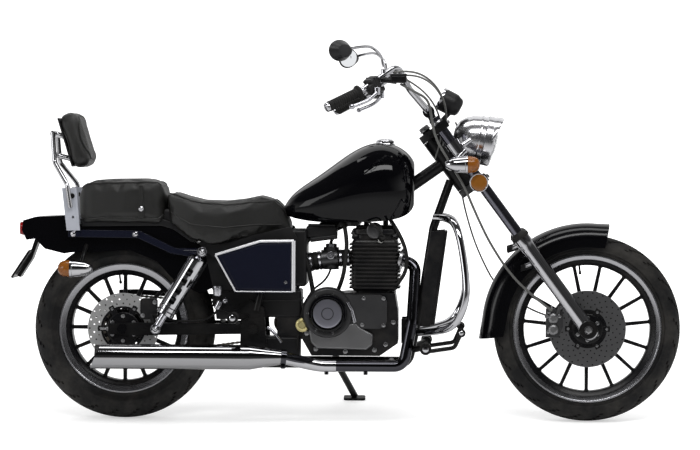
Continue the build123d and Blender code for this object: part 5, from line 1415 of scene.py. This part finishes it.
def build_suspension():
    top, foot = Vector((-502, 0, 560)), Vector((-655, 0, 305))
    way, length = (top - foot).normalized(), (top - foot).length
    shrouds, springs, rods, bolts = [], [], [], []
    for side in SIDES:
        out = Vector((0, side * SHOCK_HALF, 0))
        shell = lathe("shroud", [(28.6, 86), (31.4, 88), (31.4, length - 36), (29, length - 26),
            (18, length - 20), (14, length - 18), (14, length - 24), (25, length - 30), (28.6, length - 38),
            (28.6, 86)], foot + out, way, 56)
        slots = [block("slot", foot + beyond(out, 38) + way * (112 + 36 * k), (46, 20, 24), 4, 3, way)
            for k in range(4)]
        cut(shell, join("slot", slots), "EXACT")
        collar = lathe("shroud", [(20, 56), (30, 56), (31.5, 58), (31.5, 68), (29, 71), (31.5, 74),
            (31.5, 84), (30, 86), (20, 86), (20, 56)], foot + out, way, 48)
        shrouds += [shell, collar]
        springs.append(coil("spring", foot + out + way * 84, foot + out + way * (length - 30), 23, 4.4, 9))
        springs.append(rod("spring", foot + out + way * 60, foot + out + way * (length - 40), 15, 1, 24))
        rods.append(rod("rod", foot + out + way * 10, foot + out + way * 60, 13, 2, 28))
        for eye in (top, foot):
            rods.append(lathe("rod", [(9, -12), (16, -12), (17.5, -10), (17.5, 10), (16, 12), (9, 12),
                (9, -12)], eye + out, ACROSS, 32))
            bolts.append(lathe("nut", [(0, 13), (5, 12.4), (8.5, 9), (9.5, 4), (13, 3.4), (14, 2), (14, 0)],
                eye + beyond(out, 12), out, 28))
            bolts.append(rod("nut", eye + beyond(out, -16), eye + beyond(out, 14), 8, 1, 20))
    group("shock_shrouds", shrouds, "chrome", "chassis", "chrome", ["shock_absorbers"], 30)
    group("shock_springs", springs, "frame_black", "chassis", "frame_black")
    group("shock_rods", rods, "polished_alloy", "chassis", "chrome")
    group("shock_bolts", bolts, "chrome", "chassis", "chrome")
    rounded("swingarm", "frame_black", 4, 3)
    pullers = []
    for side in SIDES:
        pullers += [rod("chain_pullers", (-812, side * 98, 302), (-842, side * 98, 302), 4, 0.6, 16),
            hexagon("chain_pullers", (-817, side * 98, 302), (-1, 0, 0), 6.5, 7)]
    group("chain_pullers", pullers, "bolt_steel", "chassis", "polished_alloy")
    keep("rear_spindle", "dark_chrome")
    sheet = lathe("splash_guard", [(325, -80), (325, -50), (331, -40), (331, 40), (325, 50), (325, 80),
        (328, 80), (334, 41), (334, -41), (328, -80), (325, -80)], REAR_AXLE, RIGHT, 20, 28, -3)
    settle(sheet, "plastic", "chassis", "black_plastic")
    case = [block("battery_box", (-294, 0, 388), (232, 150, 92), 8, 3),
        block("battery_box", (-294, 0, 400), (236, 154, 8), 2, 2),
        block("battery_box", (-276, -36, 242), (190, 96, 72), 8, 3)]
    for side in SIDES:
        case.append(side_slab("battery_box", [(-524, 562), (-462, 550), (-392, 424), (-344, 420),
            (-344, 336), (-458, 336), (-470, 440), (-516, 420)], side * 94, side * -4, 1, 1))
        case.append(side_slab("battery_box", [(-520, 590), (-420, 600), (-316, 620), (-212, 644),
            (-190, 606), (-205, 584), (-330, 572), (-470, 540)], side * 112, side * -4, 1, 1))
    group("battery_box", case, "plastic", "chassis", "black_plastic")


# x, z and the chain's radius round the rear and the front sprocket, and a straight run of it
CHAIN_REAR, CHAIN_FRONT, CHAIN_RUN = (-770, 302, 103.5), (-236, 318, 48.5), 537.0


def chain_point(distance):
    """A place on the chain's middle line and the way it runs there."""
    for first, second, above in ((CHAIN_REAR, CHAIN_FRONT, 1), (CHAIN_FRONT, CHAIN_REAR, -1)):
        start, end = [Vector((x, 0, z + above * radius)) for x, z, radius in (first, second)]
        line = end - start
        if distance <= line.length:
            return start + line.normalized() * distance, line.normalized()
        distance -= line.length
        x, z, radius = second
        if distance <= radius * pi or above < 0:
            turn = above * pi / 2 - distance / radius
            spot = Vector((x + radius * cos(turn), 0, z + radius * sin(turn)))
            return spot, Vector((sin(turn), 0, -cos(turn)))
        distance -= radius * pi


def build_chain():
    total, count = 2 * CHAIN_RUN + CHAIN_REAR[2] * pi + CHAIN_FRONT[2] * pi, 98
    shape = [(-11.4, 0), (-9.5, 3.6), (-5, 3.8), (0, 2.6), (5, 3.8), (9.5, 3.6), (11.4, 0), (9.5, -3.6),
        (5, -3.8), (0, -2.6), (-5, -3.8), (-9.5, -3.6)]
    links = []
    for odd, half in ((0, 4.2), (1, 6.2)):
        plates = [side_slab("link", shape, side * half, side * 1.6) for side in SIDES]
        pins = [rod("link", (x, -half, 0), (x, half, 0), 4.6, 0, 10) for x in (-7.9, 7.9)] if odd else []
        places = []
        for number in range(odd, count, 2):
            spot, way = chain_point((number + 0.5) * total / count * 0.999)
            places.append(Matrix.Translation(spot + Vector((0, 78, 0)))
                @ Matrix.Rotation(-atan2(way.z, way.x), 4, "Y"))
        links += copies(join("link", plates + pins), places)
    small = lathe("front_sprocket", [(0, 71), (40, 71), (41, 73), (41, 78), (40, 80), (22, 80), (20, 84),
        (13, 84), (13, 90), (0, 90)], (-236, 0, 318), ACROSS, 28)
    group("roller_chain", links + [small], "chain_steel", "chassis", "disc_steel", ["drive_chain"], 30)
    guard = side_slab("chain_guard", [(-800, 424), (-742, 426), (-420, 408), (-404, 392), (-420, 388),
        (-742, 408), (-800, 410)], 70, 16, 3, 2)
    settle(guard, "frame_black", "chassis", "frame_black")


def build_controls():
    sleeves, caps = [], []
    for side in SIDES:
        for x, z, near, far, radius in ((236, 252, 176, 268, 17.6), (-392, 350, 200, 284, 16.6),
                (352, 302, 168, 212, 12.6)):
            profile = [(radius - 3, 0)]
            for k in range(int((far - near) / 7)):
                profile += [(radius - 1.8, k * 7), (radius, 1.4 + k * 7), (radius, 4.6 + k * 7),
                    (radius - 1.8, 6 + k * 7)]
            profile += [(radius + 1.5, far - near - 2), (radius + 1.5, far - near),
                (radius - 4, far - near + 1)]
            sleeves.append(lathe("peg_rubbers", profile, (x, side * near, z), (0, side, 0), 28))
            caps.append(lathe("peg_caps", [(0, 4), (radius * 0.4, 3.4), (radius * 0.72, 1),
                (radius * 0.76, 0)], (x, side * far, z), (0, side, 0), 24))
    group("peg_rubbers", sleeves, "rubber", "chassis", "black_rubber")
    group("peg_caps", caps, "chrome", "chassis", "chrome")
    rounded("rear_calliper", "engine_black", 3.5, 3)
    settle(hexagons("calliper_bolts", [(-664, -83.5, 390), (-704, -83.5, 346)], RIGHT, 6, 5), "bolt_steel",
        "chassis", "polished_alloy")
    lever = wire("brake_lever", [(-286, -122, 312), (-270, -124, 300), (-252, -126, 280), (-240, -126, 262)],
        5.5, 3, 4)
    pots = [lathe("rear_reservoir", [(0, 24), (15, 24), (18, 22), (18, 16), (16, 14), (15, -6), (12, -10),
        (0, -10)], (-453, -112, 424), UP, 36), lathe("rear_reservoir",
        [(0, 16), (8, 15), (11, 12), (11, -12), (8, -15), (0, -16)], (-450, -112, 384), (0.5, 0, 1), 28),
        hexagon("rear_reservoir", (-428, -112, 398), RIGHT, 6, 6)]
    group("rear_brake_fittings", [lever, *pots], "polished_alloy", "chassis", "polished_alloy")
    plate = side_slab("rear_brake_plate", [(-318, 424), (-318, 396), (-330, 340), (-352, 336), (-440, 366),
        (-470, 380), (-470, 418), (-440, 430)], -104, 5, 1.5, 2)
    hose = wire("rear_brake_plate", [(-450, -112, 372), (-470, -112, 340), (-540, -112, 328),
        (-620, -110, 332), (-668, -96, 352)], 4)
    group("rear_brake_plate", [plate, hose], "frame_black", "chassis", "frame_black")
    rounded("stand_leg", "frame_black", 2)


def build_cables():
    cables = [wire("cable", points, radius) for radius, points in (
        (4.2, [(150, -300, 1112), (190, -290, 1090), (240, -220, 1066), (250, -142, 1010), (262, -134, 940),
               (305, -132, 868), (360, -131, 780), (398, -110, 690), (446, -92, 590), (520, -92, 480),
               (600, -96, 410), (640, -100, 380), (650, -92, 372)]),
        *[(3.4, [(120, side * 252, 1150), (180, side * 250, 1160), (250, side * 200, 1130),
                 (296, side * 120, 1060), (300, side * 50, 980), (286, side * 20, 900),
                 (262, side * 10, 850)]) for side in SIDES],
        (3.0, [(330, 30, 992), (360, 60, 930), (350, 96, 820), (352, 90, 745), (386, 84, 620),
               (418, 80, 540), (470, 80, 440), (590, 78, 360), (700, 76, 330), (760, 66, 318)]),
        (3.0, [(110, -240, 1158), (170, -236, 1130), (240, -160, 1080), (280, -80, 1010), (284, -40, 930),
               (262, -24, 870)]))]
    group("front_cables", cables, "cable_grey", "front_end", "black_rubber", (), 60)


# --- stage and camera
def build_stage():
    sizes = bpy.context.scene.cruiser_sizes
    scene = bpy.context.scene
    floor = begin("plane", "floor", size=60)
    made = bpy.data.materials.new("pale_floor")
    made.use_nodes = True
    tree = made.node_tree
    shader = tree.nodes["Principled BSDF"]
    ray = node(tree, "LightPath")
    seen = node(tree, "Math", {0: ray.outputs["Is Camera Ray"], 1: ray.outputs["Is Transmission Ray"]},
        operation="MAXIMUM")
    middle = node(tree, "Mapping", {"Vector": node(tree, "TexCoord").outputs["Object"],
        "Scale": (0.25, 0.4, 0)})
    away = node(tree, "TexGradient", {"Vector": middle.outputs["Vector"]},
        gradient_type="SPHERICAL").outputs["Fac"]
    lift = node(tree, "MapRange", {"Value": away, "From Min": 0.0, "From Max": 0.75, "To Min": 1.0,
        "To Max": 0.5})
    glow = node(tree, "Math", {0: lift.outputs["Result"], 1: seen.outputs[0]}, operation="MULTIPLY")
    feed(tree, shader, {"Base Color": (*sizes.floor_color, 1), "Roughness": 0.9, "Specular IOR Level": 0.1,
        "Emission Color": (1, 1, 1, 1), "Emission Strength": glow.outputs[0]})
    floor.data.materials.append(made)

    world = bpy.data.worlds.new("studio")
    scene.world = world
    world.use_nodes = True
    tree = world.node_tree
    tree.nodes.clear()
    ray = node(tree, "LightPath")
    seen = node(tree, "Math", {0: ray.outputs["Is Camera Ray"], 1: ray.outputs["Is Glossy Ray"]},
        operation="MAXIMUM")
    seen = node(tree, "Math", {0: seen.outputs[0], 1: ray.outputs["Is Transmission Ray"]},
        operation="MAXIMUM")
    way = node(tree, "SeparateXYZ", {"Vector": node(tree, "TexCoord").outputs["Generated"]})
    shade = 1.0
    for axis, low, high in (("Z", 0.16, 0.5), ("Y", 0.5, 1.0), ("Y", -0.35, -0.85)):
        fade = node(tree, "MapRange", {"Value": way.outputs[axis], "From Min": low, "From Max": high,
            "To Min": 1.0, "To Max": 0.4 if low == 0.5 else sizes.room_light}).outputs["Result"]
        shade = node(tree, "Math", {0: shade, 1: fade}, operation="MULTIPLY").outputs[0]
    above = node(tree, "Math", {0: shade, 1: ray.outputs["Is Camera Ray"]}, operation="MAXIMUM").outputs[0]
    plain = node(tree, "Background", {"Color": (1, 1, 1, 1), "Strength": sizes.ambient_light})
    white = node(tree, "Background", {"Color": (1, 1, 1, 1), "Strength": above})
    mixed = node(tree, "MixShader", {0: seen.outputs[0], 1: plain.outputs[0], 2: white.outputs[0]})
    node(tree, "OutputWorld", {"Surface": mixed.outputs[0]})

    # name, place, width, height, share of the key lamp's power
    for name, place, width, height, share in (("key_softbox", (0.5, -2.0, 3.4), 3.4, 0.6, 1),
            ("top_strip", (0, 0.3, 3.6), 3.4, 0.9, 0.7), ("fill_softbox", (-3.4, -2.6, 1.8), 1.2, 1.8, 0.35),
            ("far_softbox", (0, 3.2, 3.0), 5.0, 3.0, 0.8)):
        lamp = bpy.data.lights.new(name, "AREA")
        lamp.shape, lamp.size, lamp.size_y = "RECTANGLE", width, height
        lamp.energy = sizes.lamp_power * share
        stand = bpy.data.objects.new(name, lamp)
        scene.collection.objects.link(stand)
        stand.location = place
        stand.rotation_euler = (Vector((0, 0, 0.6)) - Vector(place)).to_track_quat("-Z", "Y").to_euler()

    camera = bpy.data.cameras.new("side_view")
    view_width = 2.335                # metres across the picture at the machine's distance
    camera.sensor_width = 36
    camera.lens = camera.sensor_width * sizes.camera_distance / view_width
    viewer = bpy.data.objects.new("side_view", camera)
    scene.collection.objects.link(viewer)
    aim = PARKED @ Vector((-20, 0, 648))
    outward = (PARKED.to_3x3() @ Vector((sin(radians(1.8)), -1, sin(radians(1.4))))).normalized()
    viewer.location = aim + outward * sizes.camera_distance
    viewer.rotation_euler = (-outward).to_track_quat("-Z", "Y").to_euler()
    scene.camera = viewer
    scene.view_settings.view_transform = "Standard"


# --- sizes and panel
def color_property(name, description, default):
    return FloatVectorProperty(name=name, description=description, default=default, subtype="COLOR", size=3,
        min=0, max=1)


class CruiserSizes(PropertyGroup):
    paint_color: color_property("Paint", "Colour of the tank, fenders and covers", (0.0016, 0.0016, 0.0022))
    leather_color: color_property("Leather", "Colour of the seat covers", (0.0045, 0.0044, 0.0038))
    floor_color: color_property("Floor", "Colour of the studio floor", (0.80, 0.80, 0.80))
    chrome_roughness: FloatProperty(name="Chrome roughness", description="How dull the plated pieces are",
        default=0.05, min=0, max=1, subtype="FACTOR")
    leather_grain: FloatProperty(name="Leather grain", description="Grain cells in a metre of cover",
        default=620, min=50, max=2000)
    tread_depth: FloatProperty(name="Tread depth", description="Depth of the tyre grooves", default=0.004,
        min=0.001, max=0.008, unit="LENGTH")
    seam_radius: FloatProperty(name="Piping", description="Radius of the piping along the seat seams",
        default=0.0028, min=0.001, max=0.006, unit="LENGTH")
    seat_swell: FloatProperty(name="Seat swell", description="Furthest that a pad's cover may swell",
        default=0.006, min=0, max=0.03, unit="LENGTH")
    front_spokes: IntProperty(name="Front spokes", description="Spokes of the front wheel", default=15,
        min=5, max=30)
    rear_spokes: IntProperty(name="Rear spokes", description="Spokes of the rear wheel", default=16, min=5,
        max=30)
    camera_distance: FloatProperty(name="Camera distance", description="Camera from the machine's middle",
        default=10, min=3, max=20, unit="LENGTH")
    lamp_power: FloatProperty(name="Lamp power", description="Power of the key softbox", default=60, min=1,
        max=1000, subtype="POWER", unit="POWER")
    room_light: FloatProperty(name="Room light",
        description="How bright the studio's dark room shows in metal", default=0.06, min=0, max=1)
    ambient_light: FloatProperty(name="Ambient light", description="Light from the white surroundings",
        default=0.55, min=0, max=2)


# --- operators
def built(builder):
    """Run a building function and report its step as done."""
    builder()
    return {"FINISHED"}


class CRUISER_OT_stage(Operator):
    """Floor, lamps, white surroundings and the camera"""
    bl_idname = "cruiser.stage"
    bl_label = "Stage"

    def execute(self, context):
        return built(build_stage)


class CRUISER_OT_front_wheel(Operator):
    """Front tyre, cast wheel and drilled disc"""
    bl_idname = "cruiser.front_wheel"
    bl_label = "Front Wheel"

    def execute(self, context):
        return built(build_front_wheel)


class CRUISER_OT_fork(Operator):
    """Lower legs, seals, clamps, nuts and the front calliper"""
    bl_idname = "cruiser.fork"
    bl_label = "Fork"

    def execute(self, context):
        return built(build_fork)


class CRUISER_OT_handlebar(Operator):
    """Grips, switch housings, levers and brake reservoir"""
    bl_idname = "cruiser.handlebar"
    bl_label = "Handlebar"

    def execute(self, context):
        return built(build_handlebar)


class CRUISER_OT_mirrors(Operator):
    """Mirror shells, glass and stems"""
    bl_idname = "cruiser.mirrors"
    bl_label = "Mirrors"

    def execute(self, context):
        return built(build_mirrors)


class CRUISER_OT_headlight(Operator):
    """Bucket, visor, bowl, bulb and lens"""
    bl_idname = "cruiser.headlight"
    bl_label = "Headlight"

    def execute(self, context):
        return built(build_headlight)


class CRUISER_OT_lamps(Operator):
    """Signals, reflectors, tail lamp and blank plate"""
    bl_idname = "cruiser.lamps"
    bl_label = "Lamps"

    def execute(self, context):
        return built(build_lamps)


class CRUISER_OT_gauge(Operator):
    """Speedometer cup, dial, pointer and glass"""
    bl_idname = "cruiser.gauge"
    bl_label = "Gauge"

    def execute(self, context):
        return built(build_gauge)


class CRUISER_OT_front_fender(Operator):
    """Front fender shell and its stays"""
    bl_idname = "cruiser.front_fender"
    bl_label = "Front Fender"

    def execute(self, context):
        return built(build_front_fender)


class CRUISER_OT_rear_wheel(Operator):
    """Rear tyre, cast wheel, disc and sprocket"""
    bl_idname = "cruiser.rear_wheel"
    bl_label = "Rear Wheel"

    def execute(self, context):
        return built(build_rear_wheel)


class CRUISER_OT_seats(Operator):
    """Rider's seat, pillion seat and backrest pad with their piping"""
    bl_idname = "cruiser.seats"
    bl_label = "Seats"

    def execute(self, context):
        return built(build_seats)


class CRUISER_OT_tank(Operator):
    """Tank finish, filler cap, fuel tap and hose"""
    bl_idname = "cruiser.tank"
    bl_label = "Tank"

    def execute(self, context):
        return built(build_tank)


class CRUISER_OT_covers(Operator):
    """Side covers with their bright trim"""
    bl_idname = "cruiser.covers"
    bl_label = "Side Covers"

    def execute(self, context):
        return built(build_covers)


class CRUISER_OT_rear_fender(Operator):
    """Rear fender, its strips and bolts"""
    bl_idname = "cruiser.rear_fender"
    bl_label = "Rear Fender"

    def execute(self, context):
        return built(build_rear_fender)


class CRUISER_OT_backrest(Operator):
    """Slotted carrier plates, bar and studs of the backrest"""
    bl_idname = "cruiser.backrest"
    bl_label = "Backrest"

    def execute(self, context):
        return built(build_backrest)


class CRUISER_OT_engine(Operator):
    """Cases, covers, cylinder, head and their bolts"""
    bl_idname = "cruiser.engine"
    bl_label = "Engine"

    def execute(self, context):
        return built(build_engine)


class CRUISER_OT_intake(Operator):
    """Carburettor, boots, clamps and hoses"""
    bl_idname = "cruiser.intake"
    bl_label = "Intake"

    def execute(self, context):
        return built(build_intake)


class CRUISER_OT_exhaust(Operator):
    """Header, clamps and silencer"""
    bl_idname = "cruiser.exhaust"
    bl_label = "Exhaust"

    def execute(self, context):
        return built(build_exhaust)


class CRUISER_OT_crash_bars(Operator):
    """Bars round the downtubes"""
    bl_idname = "cruiser.crash_bars"
    bl_label = "Crash Bars"

    def execute(self, context):
        return built(build_crash_bars)


class CRUISER_OT_suspension(Operator):
    """Shock absorbers with slotted shrouds and the swingarm"""
    bl_idname = "cruiser.suspension"
    bl_label = "Rear Suspension"

    def execute(self, context):
        return built(build_suspension)


class CRUISER_OT_chain(Operator):
    """Roller chain and its guard"""
    bl_idname = "cruiser.chain"
    bl_label = "Chain"

    def execute(self, context):
        return built(build_chain)


class CRUISER_OT_controls(Operator):
    """Pegs, pedals, levers, rear calliper and side stand"""
    bl_idname = "cruiser.controls"
    bl_label = "Foot Controls"

    def execute(self, context):
        return built(build_controls)


class CRUISER_OT_cables(Operator):
    """Brake hose, clutch, throttle and speedometer cables"""
    bl_idname = "cruiser.cables"
    bl_label = "Cables"

    def execute(self, context):
        return built(build_cables)


class CRUISER_OT_carried(Operator):
    """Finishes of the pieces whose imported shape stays"""
    bl_idname = "cruiser.carried"
    bl_label = "Carried Pieces"

    def execute(self, context):
        return built(build_carried)


STEPS = (
    CRUISER_OT_stage, CRUISER_OT_front_wheel, CRUISER_OT_fork, CRUISER_OT_handlebar, CRUISER_OT_mirrors,
    CRUISER_OT_headlight, CRUISER_OT_lamps, CRUISER_OT_gauge, CRUISER_OT_front_fender,
    CRUISER_OT_rear_wheel, CRUISER_OT_seats, CRUISER_OT_tank, CRUISER_OT_covers, CRUISER_OT_rear_fender,
    CRUISER_OT_backrest, CRUISER_OT_engine, CRUISER_OT_intake, CRUISER_OT_exhaust, CRUISER_OT_crash_bars,
    CRUISER_OT_suspension, CRUISER_OT_chain, CRUISER_OT_controls, CRUISER_OT_cables, CRUISER_OT_carried,
)


class CRUISER_PT_panel(Panel):
    """Sizes and building steps of the cruiser motorcycle"""
    bl_idname = "CRUISER_PT_panel"
    bl_label = "Cruiser Motorcycle"
    bl_space_type = "VIEW_3D"
    bl_region_type = "UI"
    bl_category = "Cruiser"

    def draw(self, context):
        sizes = context.scene.cruiser_sizes
        for name in sizes.__annotations__:
            self.layout.prop(sizes, name)
        self.layout.separator()
        for step in STEPS:
            self.layout.operator(step.bl_idname)


CLASSES = (CruiserSizes, *STEPS, CRUISER_PT_panel)


def register():
    for kind in CLASSES:
        bpy.utils.register_class(kind)
    bpy.types.Scene.cruiser_sizes = PointerProperty(type=CruiserSizes)


def unregister():
    del bpy.types.Scene.cruiser_sizes
    for kind in reversed(CLASSES):
        bpy.utils.unregister_class(kind)


def main():
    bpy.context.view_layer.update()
    register()
    for step in STEPS:
        group, name = step.bl_idname.split(".")
        getattr(getattr(bpy.ops, group), name)()


if __name__ == "__main__":
    main()
